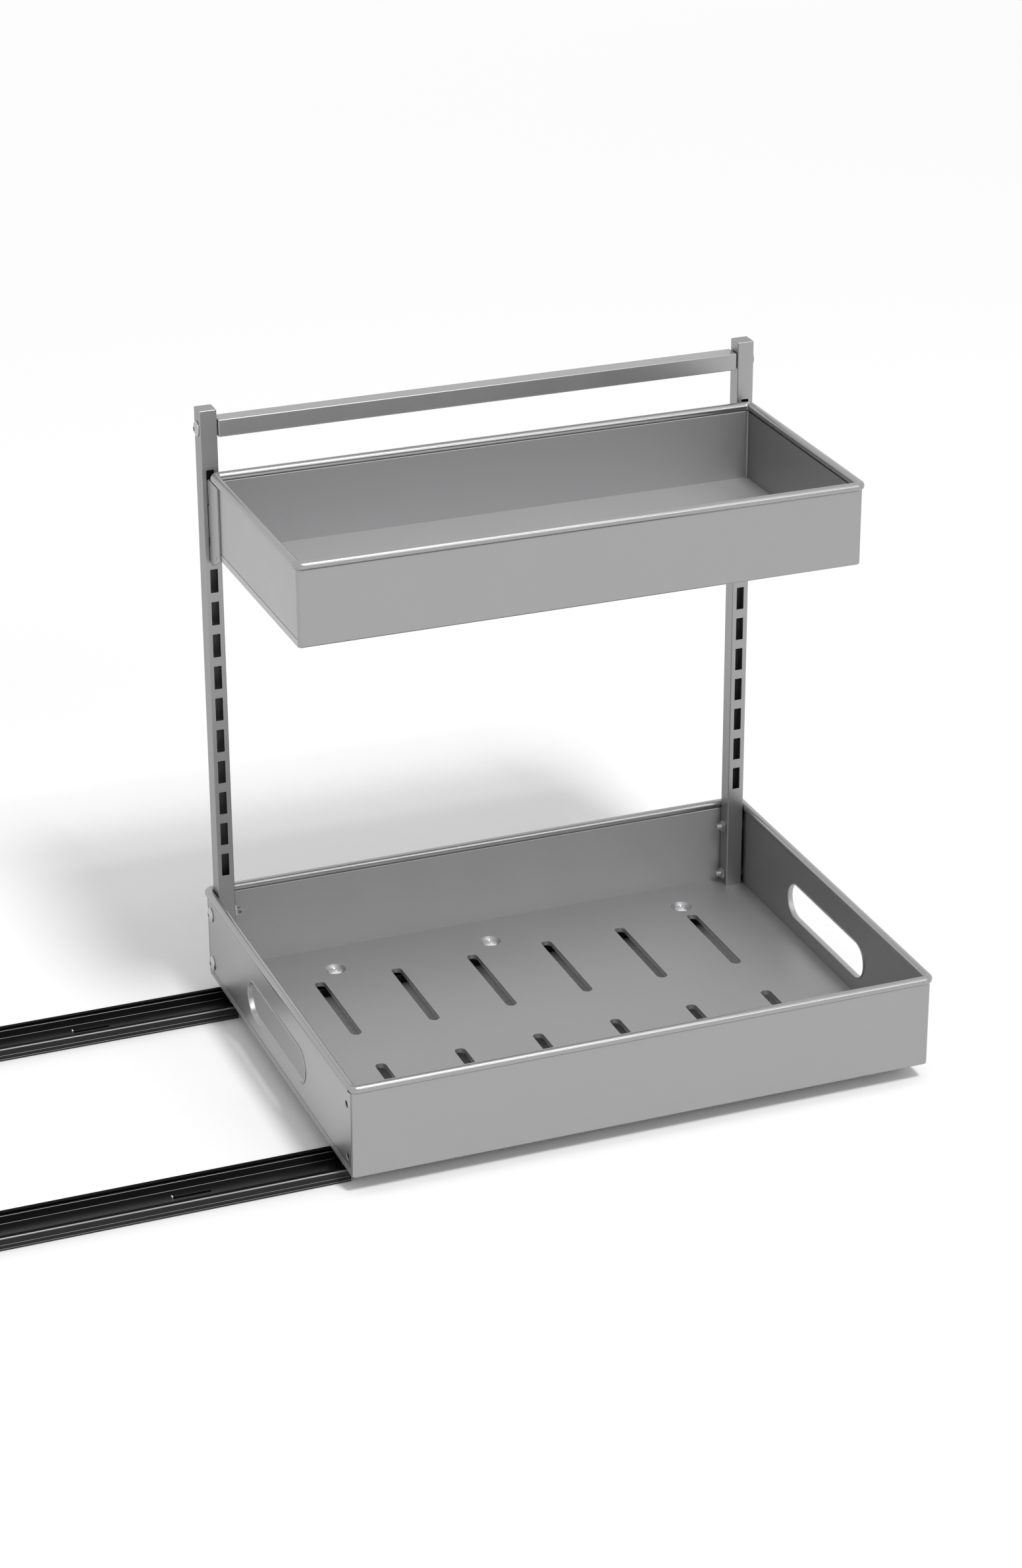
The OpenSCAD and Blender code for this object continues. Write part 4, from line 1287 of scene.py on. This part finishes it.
@dataclass
class Slides(Assembly):
    """The two ball slides that carry the tray: members, stops, cages and balls.

    Each slide lies on its web on the cabinet floor, and its three members are nested channels.
    """

    row_y: float = 158.0
    sheet: float = 1.2
    bend: float = 1.6
    inner_bend: float = 0.4
    web_gap: float = 0.1
    level: float = 0.1
    arris: float = 0.5
    end_ease: float = 0.12
    hole_arris: float = 0.2
    flat: float = 0.9
    slant: float = 0.4
    outer_half: float = 22.5
    outer_top: float = 12.4
    lip_reach: float = 17.3
    grooves: Pair = (2.54, 6.223)
    groove_half: float = 0.49
    groove_depth: float = 0.25
    middle_half: float = 16.3
    middle_low: float = 1.8
    middle_top: float = 10.5
    inner_half: float = 11.6
    inner_low: float = 3.5
    inner_top: float = 12.7
    outer_ends: Pair = (-276.0, 268.0)
    middle_ends: Pair = (-40.0, 496.0)
    inner_ends: Pair = (264.0, 800.0)
    mount_x: Pair = (-208.0, 208.0)
    mount_hole: float = 5.0
    screw_x: Point = (370.0, 525.0, 722.5)
    screw_hole: float = 6.4
    tab_x: float = 118.0
    tab_y: float = 3.0
    tab_width: float = 3.0
    tab_height: float = 2.2
    tab_slot: Pair = (34.0, 4.0)
    stop_ends: Pair = (-276.0, -268.3)
    stop_r: float = 1.2
    cage_half: float = 0.5
    cage_rim: float = 1.2
    cage_r: float = 0.8
    ball_play: float = 0.1

    def look(self, face: bpy.types.MeshPolygon, y: float) -> RailFinish:
        """Chooses the finish of one face of a rolled side.

        Args:
            face: The face.
            y: Middle of the slide.

        Returns:
            The finish: the unreflective lip finish, a painted shade, on a lip and its inner side, and the
                lighter edge finish, a painted highlight, on an arris that slants upwards.
        """
        across, up, z = face.normal.y, face.normal.z, face.center.z / MM
        # A lip's top and the inner side below it take the painted shade.
        if up > self.flat:
            return RailFinish.LIP if abs(z - self.outer_top) < self.level else RailFinish.LACQUER
        if z > self.outer_top - self.bend and across * (face.center.y / MM - y) < 0:
            return RailFinish.LIP
        # An arris that slants upwards takes the painted highlight.
        highlit = up > self.slant and abs(across) > self.slant and z > self.sheet
        return RailFinish.WORN if highlit else RailFinish.LACQUER

    def member(self, name: str, y: float, ends: Pair, web: Pair, holes: list[Loop],
               side: list[Corner]) -> Object:
        """Makes one member from a web with its holes and two rolled sides.

        Args:
            name: Name of the piece.
            y: Middle of the slide.
            ends: Where the member starts and stops along X.
            web: Half width and top of the web.
            holes: Holes in the web, seen from above.
            side: Corners of one side's section as distance from the middle, height and bend radius.

        Returns:
            The member as one object.
        """
        half, top = web
        floor = Draft()
        floor.turn = Matrix.Translation((0, y, 0))
        ring = edge_ring(top, top - self.sheet, self.hole_arris)
        floor.plate([(oblong(ends[0], -half, ends[1], half), [(0, top), (0, top - self.sheet)])]
                    + [(hole(path), ring) for path in holes])
        sides = Draft()
        sides.turn = Facing.RIGHT.at(y=y)
        section = rounded(side, True, 5)
        for sign in (-1, 1):
            sides.bar([(sign * t, z) for t, z in section], ends[0], ends[1], self.end_ease)
        rolled = sides.object(name, [self.finishes.rail, self.finishes.rail_edge_highlight, self.finishes.rail_lip_shaded])
        for item in rolled.data.polygons:
            item.material_index = self.look(item, y).value
        return joined(name, [floor.object(name, [self.finishes.rail]), rolled])

    def faces(self, half: float) -> Point:
        """From the middle of a member to the outside of a side, its inside and the edge of the web."""
        return half, half - self.sheet, half - self.bend - self.web_gap

    @staticmethod
    def holes(width: float, places: tuple[float, ...]) -> list[Loop]:
        """Round holes along the middle of a web."""
        return [moved(circle_path(width / 2, 28), x, 0) for x in places]

    def outer(self, name: str, y: float) -> Object:
        """Makes an outer member: lips rolled in over the balls and two faint grooves along each side.

        Args:
            name: Name of the piece.
            y: Middle of the slide.

        Returns:
            The member as one object.
        """
        edge, inside, web = self.faces(self.outer_half)
        corners: list[Corner] = [(web, 0, 0), (edge, 0, self.bend)]
        for z in self.grooves:
            for shift, depth in ((-1, 0), (-0.6, 0.7), (0, 1), (0.6, 0.7), (1, 0)):
                corners.append((edge - depth * self.groove_depth, z + shift * self.groove_half, 0))
        low_lip = self.outer_top - self.sheet
        corners += [(edge, self.outer_top, self.bend), (self.lip_reach, self.outer_top, self.arris),
                    (self.lip_reach, low_lip, self.arris), (inside, low_lip, self.inner_bend),
                    (inside, self.sheet, self.inner_bend), (web, self.sheet, 0)]
        return self.member(name, y, self.outer_ends, (web, self.sheet),
                           self.holes(self.mount_hole, self.mount_x), corners)

    def middle(self, name: str, y: float) -> Object:
        """Makes a middle member with its slot and the bright lanced tab beside it.

        Args:
            name: Name of the piece.
            y: Middle of the slide.

        Returns:
            The member as one object.
        """
        edge, inside, web = self.faces(self.middle_half)
        top = self.middle_low + self.sheet
        corners = [(web, self.middle_low, 0), (edge, self.middle_low, self.bend),
                   (edge, self.middle_top, self.arris), (inside, self.middle_top, self.arris),
                   (inside, top, self.inner_bend), (web, top, 0)]
        slot = moved(oval_path(*self.tab_slot, 10), self.tab_x + self.tab_slot[0] / 2, self.tab_y)
        channel = self.member(name, y, self.middle_ends, (web, top), [slot], corners)
        tab = Draft()
        tab.turn = Facing.RIGHT.at(self.tab_x - self.sheet, y + self.tab_y, top)
        a = self.tab_width / 2
        outline = rounded([(-a, -0.1, 0), (a, -0.1, 0), (a, self.tab_height, self.arris),
                           (-a, self.tab_height, self.arris)], True, 4)
        tab.plate([(outline, edge_ring(self.sheet, 0, 0.15))])
        return joined(name, [channel, tab.object(name + "_tab", [self.finishes.zinc])])

    def inner(self, name: str, y: float) -> Object:
        """Makes an inner member, an inverted channel with the holes of the tray's screws.

        Args:
            name: Name of the piece.
            y: Middle of the slide.

        Returns:
            The member as one object.
        """
        edge, inside, web = self.faces(self.inner_half)
        under = self.inner_top - self.sheet
        corners = [(web, self.inner_top, 0), (web, under, 0), (inside, under, 0.3),
                   (inside, self.inner_low, self.arris), (edge, self.inner_low, self.arris),
                   (edge, self.inner_top, self.bend)]
        return self.member(name, y, self.inner_ends, (web, self.inner_top),
                           self.holes(self.screw_hole, self.screw_x), corners)

    def stops(self) -> None:
        """Makes the moulded stops at the back of the outer members."""
        draft = Draft()
        centre, height = (self.sheet + self.middle_top) / 2, self.middle_top - self.sheet
        for side in (-1, 1):
            draft.turn = Facing.RIGHT.at(0, side * self.row_y, centre)
            draft.bar(box_path(2 * self.middle_half, height, self.stop_r, 5), *self.stop_ends, self.arris)
        piece = draft.object("slide_stops_moulded", [self.finishes.plastic])
        settle(piece, Body.BASE, Slot.PLASTIC, "rail_stops")

    def row(self, name: str, body: Body, span: Pair, count: int, place: Pair, ball: float) -> None:
        """Makes the cages and balls between two members.

        Args:
            name: "outer" or "inner", as the names of the pieces and of the CAD nodes have it.
            body: The body they ride on.
            span: Where a cage starts and stops along X.
            count: Balls in a cage.
            place: Distance of a cage from the slide's middle, and its height.
            ball: Diameter of a ball.
        """
        low, length, pitch = span[0], span[1] - span[0], (span[1] - span[0]) / count
        across, z = place
        strip = Draft()
        strip.turn = Facing.FRONT.at()
        bore, half = circle_path(ball / 2 + self.ball_play, 20), self.cage_half
        outline = box_path(length, ball + 2 * self.cage_rim, self.cage_r, 4)
        strip.plate([(outline, edge_ring(half, -half, 0.15))] + [
            (hole(moved(bore, (i + 0.5) * pitch - length / 2, 0)), edge_ring(half, -half, 0.1))
            for i in range(count)])
        rows = [side * self.row_y + turn * across for side in (-1, 1) for turn in (-1, 1)]
        cages = Repeater(f"slide_{name}_cages_pressed", strip.object("cage", [self.finishes.cage]))
        settle(cages.at([Place(low + length / 2, y, z) for y in rows]), body, Slot.ZINC, f"{name}_ball_cages")
        bead = Draft()
        turns = [math.pi * k / 8 for k in range(9)]
        bead.lathe([(ball / 2 * math.sin(a), -ball / 2 * math.cos(a)) for a in turns], 14)
        balls = Repeater(f"slide_{name}_balls_polished", bead.object("ball", [self.finishes.steel]))
        settle(balls.at([Place(low + (i + 0.5) * pitch, y, z) for y in rows for i in range(count)]), body,
               Slot.BALL, f"{name}_balls")

    def build(self) -> None:
        """Makes both slides."""
        for side, label in ((-1, "front"), (1, "back")):
            for part, make, body in (("outer", self.outer, Body.BASE), ("middle", self.middle, Body.MIDDLE),
                                     ("inner", self.inner, Body.BASKET)):
                piece = make(f"slide_{part}_{label}_rolled", side * self.row_y)
                settle(piece, body, Slot.RAIL, f"{part}_rail_{label}")
        self.stops()
        self.row("outer", Body.OUTER_CAGES, (-29.0, 257.0), 13, (18.8, 6.2), 4.4)
        self.row("inner", Body.INNER_CAGES, (275.0, 485.0), 12, (13.35, 6.75), 2.9)


# Screws, bolts, nuts and spacers


@dataclass
class Fasteners(Assembly):
    """Every screw, bolt, nut and spacer of the basket, drawn once and copied to its places."""

    x: float = 532.0
    head: float = 14.0
    head_height: float = 3.0
    shank: float = 6.0
    pitch: float = 1.0
    thread_rows: int = 6
    thread_depth: float = 0.5
    socket: float = 4.0
    nut: float = 10.0
    nut_bore: float = 6.2
    nut_slope: float = math.tan(math.radians(30))
    spacer: float = 12.0
    spacer_bore: float = 6.4
    spacer_arris: float = 0.18
    end_face: float = 270.0
    post_face: float = 264.8
    post_nut_face: float = 245.6
    post_nut_height: float = 3.2
    post_spacer: float = 1.8
    post_y: float = 190.8
    bolt_z: Pair = (31.7, 82.0)
    bolt_length: float = 28.9
    bolt_plain: float = 12.0
    bar_z: float = 554.7
    bar_screw_length: float = 28.0
    bar_screw_plain: float = 6.0
    floor_x: Point = (-162.0, -7.0, 190.5)
    floor_y: float = 158.0
    floor_seat: float = 17.5
    floor_screw_length: float = 10.3
    floor_screw_plain: float = 3.0
    floor_spacer: Pair = (12.7, 16.3)
    floor_nut: Pair = (8.3, 11.5)

    @staticmethod
    def hexagon(width: float) -> Callable[[float], float]:
        """Radius of a hexagon of the given width across flats, by angle."""
        return lambda a: width / 2 / math.cos(a % (math.pi / 3) - math.pi / 6)

    @staticmethod
    def cross(length: float, width: float) -> Callable[[float], float]:
        """Radius of a cross of two bars, by angle.

        Args:
            length: Length of each bar.
            width: Width of each bar.

        Returns:
            The radius as a function of the angle.
        """
        def radius(a: float) -> float:
            """Reach of the cross at one angle."""
            c, s = max(abs(math.cos(a)), 1e-6), max(abs(math.sin(a)), 1e-6)
            return max(min(length / c, width / s), min(width / c, length / s)) / 2
        return radius

    def thread(self, z: float) -> Callable[[float], float]:
        """Radius of the thread at one height, by angle.

        Args:
            z: The height.

        Returns:
            The radius as a function of the angle.
        """
        def radius(a: float) -> float:
            """Reach of the thread at one angle."""
            phase = (z / self.pitch - a / (2 * math.pi)) % 1.0
            return self.shank / 2 - self.thread_depth * abs(2 * phase - 1)
        return radius

    def screw(self, length: float, recess: list[tuple[Reach, Reach]], mouth: float, plain: float,
              steps: int) -> Draft:
        """Drafts a domed screw that rises along the third axis from its seat.

        Args:
            length: Length below the seat.
            recess: Rows of the drive recess from its floor to its mouth.
            mouth: Radius at which the dome starts.
            plain: Unthreaded length below the head.
            steps: Number of pieces in a turn.

        Returns:
            The draft.
        """
        r, high, edge = self.head / 2, self.head_height, self.head_height / 3
        rise = high - edge
        dome = (r * r + rise * rise) / (2 * rise)
        rows = list(recess)
        for k in range(8):
            reach = mouth + (r - 0.25 - mouth) * k / 7
            rows.append((reach, high - dome + math.sqrt(dome * dome - reach * reach)))
        core, step = self.shank / 2, self.pitch / self.thread_rows
        rows += [(r - 0.06, edge - 0.1), (r, edge - 0.3), (r, 0.3), (r - 0.12, 0.08), (r - 0.35, 0),
                 (core + 0.3, 0), (core, -0.3), (core, -plain)]
        z = -plain - step
        while z > -length + 0.7:
            rows.append((self.thread(z), z))
            z -= step
        tip = core - self.thread_depth
        rows += [(tip, -length + 0.5), (tip - 0.5, -length), (0.0, -length)]
        draft = Draft()
        draft.lathe(rows, steps)
        return draft

    def socket_screw(self, length: float, plain: float) -> Draft:
        """Drafts a domed screw with a hexagon socket.

        Args:
            length: Length below the seat.
            plain: Unthreaded length below the head.

        Returns:
            The draft.
        """
        six, high = self.hexagon(self.socket), self.head_height
        recess = [(0.0, 0.55), (lambda a: six(a) * 0.96, high / 3), (six, high / 3 + 0.1), (six, high - 0.2),
                  (lambda a: six(a) + 0.12, high - 0.06)]
        return self.screw(length, recess, self.socket / 2 + 0.55, plain, 48)

    def cross_screw(self, length: float, plain: float) -> Draft:
        """Drafts a domed screw with a cross recess that tapers to its floor.

        Args:
            length: Length below the seat.
            plain: Unthreaded length below the head.

        Returns:
            The draft.
        """
        wide, deep = self.cross(self.shank, self.shank / 5), self.cross(self.shank / 2, self.shank / 7)
        high = self.head_height
        recess = [(0.0, high / 2 - 0.5), (lambda a: deep(a) * 0.9, high / 2 - 0.1), (wide, high - 0.25),
                  (lambda a: wide(a) + 0.08, high - 0.12)]
        return self.screw(length, recess, self.shank / 2 + 0.3, plain, 64)

    def nut_shape(self, height: float) -> Draft:
        """Drafts a hexagon nut with both faces chamfered round.

        Args:
            height: Height of the nut.

        Returns:
            The draft.
        """
        six, bore, flat, ease = self.hexagon(self.nut), self.nut_bore / 2, self.nut / 2 - 0.25, 0.4

        def drop(a: float) -> float:
            """How far the chamfer has cut down at one angle."""
            return max(0.0, six(a) - flat) * self.nut_slope

        draft = Draft()
        draft.lathe([(bore, ease), (bore, height - ease), (bore + ease, height), (flat, height),
                     (six, lambda a: height - drop(a)), (six, drop), (flat, 0), (bore + ease, 0),
                     (bore, ease)], 48)
        return draft

    def ring(self, height: float) -> Draft:
        """Drafts a turned spacer with its arrises broken.

        Args:
            height: Height of the spacer.

        Returns:
            The draft.
        """
        a, b, e = self.spacer_bore / 2, self.spacer / 2, self.spacer_arris
        draft = Draft()
        draft.lathe([(a, e), (a, height - e), (a + e, height), (b - e, height), (b, height - e), (b, e),
                     (b - e, 0), (a + e, 0), (a, e)], 44)
        return draft

    def ends(self, face: float, *places: Pair) -> list[Place]:
        """Places at both ends of the basket, each turned outwards, from a distance and (y, z) pairs."""
        return [Place(self.x + side * face, y, z, (0.0, side * 90.0, 0.0))
                for side in (-1, 1) for y, z in places]

    def under(self, z: float) -> list[Place]:
        """Places along both slides at one height."""
        return [Place(self.x + x, side * self.floor_y, z) for side in (-1, 1) for x in self.floor_x]

    def build(self) -> None:
        """Makes every fastener."""
        bolts = [(self.post_y, z) for z in self.bolt_z]
        (low, high), (nut_low, nut_high) = self.floor_spacer, self.floor_nut
        steel, zinc, dark = self.finishes.bolt, self.finishes.zinc, self.finishes.plug
        for node, draft, places, dress in (
                ("post_bolts", self.socket_screw(self.bolt_length, self.bolt_plain),
                 self.ends(self.end_face, *bolts), steel),
                ("post_nuts", self.nut_shape(self.post_nut_height),
                 self.ends(self.post_nut_face, *bolts), steel),
                ("post_spacers", self.ring(self.post_spacer), self.ends(self.post_face, *bolts), dark),
                ("crossbar_screws", self.socket_screw(self.bar_screw_length, self.bar_screw_plain),
                 self.ends(self.post_face, (self.post_y, self.bar_z)), steel),
                ("floor_screws", self.cross_screw(self.floor_screw_length, self.floor_screw_plain),
                 self.under(self.floor_seat), zinc),
                ("floor_spacers", self.ring(high - low), self.under(low), zinc),
                ("rail_nuts", self.nut_shape(nut_high - nut_low), self.under(nut_low), zinc)):
            piece = Repeater(node + "_turned", draft.object(node + "_shape", [dress])).at(places)
            settle(piece, Body.BASKET, Slot.ZINC, node)


# Light, floor and camera


@dataclass
class Studio:
    """The pale floor, the soft light and the camera at the photograph's place, in metres."""

    camera_place: Point = (-0.60597, -2.80785, 1.63514)
    azimuth: float = -21.24
    elevation: float = 24.57
    roll: float = -0.25
    focal_pixels: float = 5710.5
    frame_width: float = 1552.0
    sensor: float = 36.0
    clip: Pair = (0.05, 200.0)
    sky: float = 0.45
    aim: Point = (0.53, 0.0, 0.2)
    key_place: Point = (1.083, -2.753, 4.568)
    key_size: Pair = (0.99, 0.99)
    key_power: float = 112.0
    strip_place: Point = (2.23, -3.99, 2.59)
    strip_size: Pair = (1.8, 0.8)
    strip_power: float = 16.0
    floor_half: float = 30.0
    floor_bounce: float = 0.55
    floor_white: float = 1.25
    floor_reach: Pair = (1.0, 8.5)
    floor_rise: Pair = (0.86, 1.62)

    def camera(self) -> None:
        """Places the camera from its azimuth, elevation and roll."""
        az, el, roll = (math.radians(a) for a in (self.azimuth, self.elevation, self.roll))
        ahead = Vector((-math.sin(az) * math.cos(el), math.cos(az) * math.cos(el), -math.sin(el)))
        level = Vector((math.cos(az), math.sin(az), 0))
        upright = level.cross(ahead)
        right = level * math.cos(roll) + upright * math.sin(roll)
        up = -level * math.sin(roll) + upright * math.cos(roll)
        data = bpy.data.cameras.new("camera")
        data.sensor_fit = "HORIZONTAL"
        data.sensor_width = self.sensor
        data.lens = self.sensor * self.focal_pixels / self.frame_width
        data.clip_start, data.clip_end = self.clip
        eye = placed("camera", data)
        eye.matrix_world = (Matrix.Translation(self.camera_place)
                            @ Matrix((right, up, -ahead)).transposed().to_4x4())
        bpy.context.scene.camera = eye

    @staticmethod
    def seen(wiring: Wiring, *rays: str) -> Socket:
        """Asks whether a ray is of any of the named kinds: 1 if it is, and 0 if not.

        Args:
            wiring: The wiring of the tree that asks.
            *rays: Outputs of the light path.

        Returns:
            The answer.
        """
        path = wiring.nodes.new("ShaderNodeLightPath")
        seen = path.outputs[rays[0]]
        for ray in rays[1:]:
            seen = wiring.combine("MAXIMUM", seen, path.outputs[ray])
        return seen

    def world(self) -> None:
        """A plain white sky that lights at its own level and shows as white behind the object."""
        world = bpy.data.worlds.new("studio_sky")
        bpy.context.scene.world = world
        world.use_nodes = True
        wiring = Wiring(world.node_tree)
        seen = self.seen(wiring, "Is Camera Ray", "Is Glossy Ray", "Is Transmission Ray")
        wiring.feed(wiring.nodes["Background"], {
            "Color": (1, 1, 1, 1), "Strength": wiring.remap(seen, (0.0, 1.0), (self.sky, 1.0))})

    def lamp(self, name: str, place: Point, size: Pair, power: float) -> None:
        """Hangs one soft lamp that faces the basket.

        Args:
            name: Its name.
            place: Where it hangs.
            size: Its width and height. A lamp as high as it is wide is round.
            power: Its power in watts.
        """
        data = bpy.data.lights.new(name, "AREA")
        data.shape = "DISK" if size[0] == size[1] else "RECTANGLE"
        data.size, data.size_y = size
        data.energy = power
        lamp = placed(name, data)
        lamp.location = place
        lamp.rotation_mode = "QUATERNION"
        lamp.rotation_quaternion = (Vector(place) - Vector(self.aim)).to_track_quat("Z", "Y")

    def floor(self) -> None:
        """A wide pale floor that keeps the object's shadow and stays as white far from the key lamp."""
        mesh, half = bpy.data.meshes.new("floor"), self.floor_half
        mesh.from_pydata([(x, y, 0) for x, y in oblong(-half, -half, half, half)], [], [(0, 1, 2, 3)])
        floor = placed("floor", mesh)
        material = bpy.data.materials.new("pale_floor")
        material.use_nodes = True
        wiring = Wiring(material.node_tree)
        wiring.nodes.remove(wiring.nodes["Principled BSDF"])
        seen = self.seen(wiring, "Is Camera Ray", "Is Glossy Ray")
        level = wiring.remap(seen, (0.0, 1.0), (self.floor_bounce, self.floor_white))
        place = wiring.add("ShaderNodeTexCoord", {}, "Object")
        reach = wiring.add("ShaderNodeVectorMath", {0: place, 1: (*self.key_place[:2], 0.0)}, "Value",
                           operation="DISTANCE")
        even = wiring.combine("MULTIPLY", level, wiring.remap(reach, self.floor_reach, self.floor_rise))
        wiring.feed(wiring.nodes["Material Output"], {
            "Surface": wiring.add("ShaderNodeBsdfDiffuse", {"Color": even}, "BSDF")})
        mesh.materials.append(material)

    def build(self) -> None:
        """Sets up camera, sky, lamps and floor, and the plain view transform."""
        self.camera()
        self.world()
        self.lamp("key", self.key_place, self.key_size, self.key_power)
        self.lamp("strip", self.strip_place, self.strip_size, self.strip_power)
        self.floor()
        bpy.context.scene.view_settings.view_transform = "Standard"


def main() -> None:
    logging.basicConfig(level=logging.INFO, format="%(message)s")
    Studio().build()
    finishes = Finishes()
    tray = LowerTray(finishes, "tray", Body.BASKET, x=532.0, y=0.0, z=16.7,
                     length=540.0, width=408.0, height=84.5)
    shelf = UpperShelf(finishes, "shelf", Body.SHELF, x=532.0, y=56.15, z=442.3,
                       length=516.0, width=234.3, height=72.6)
    for assembly in (tray, shelf, Uprights(finishes), Slides(finishes), Fasteners(finishes)):
        assembly.build()


if __name__ == "__main__":
    main()
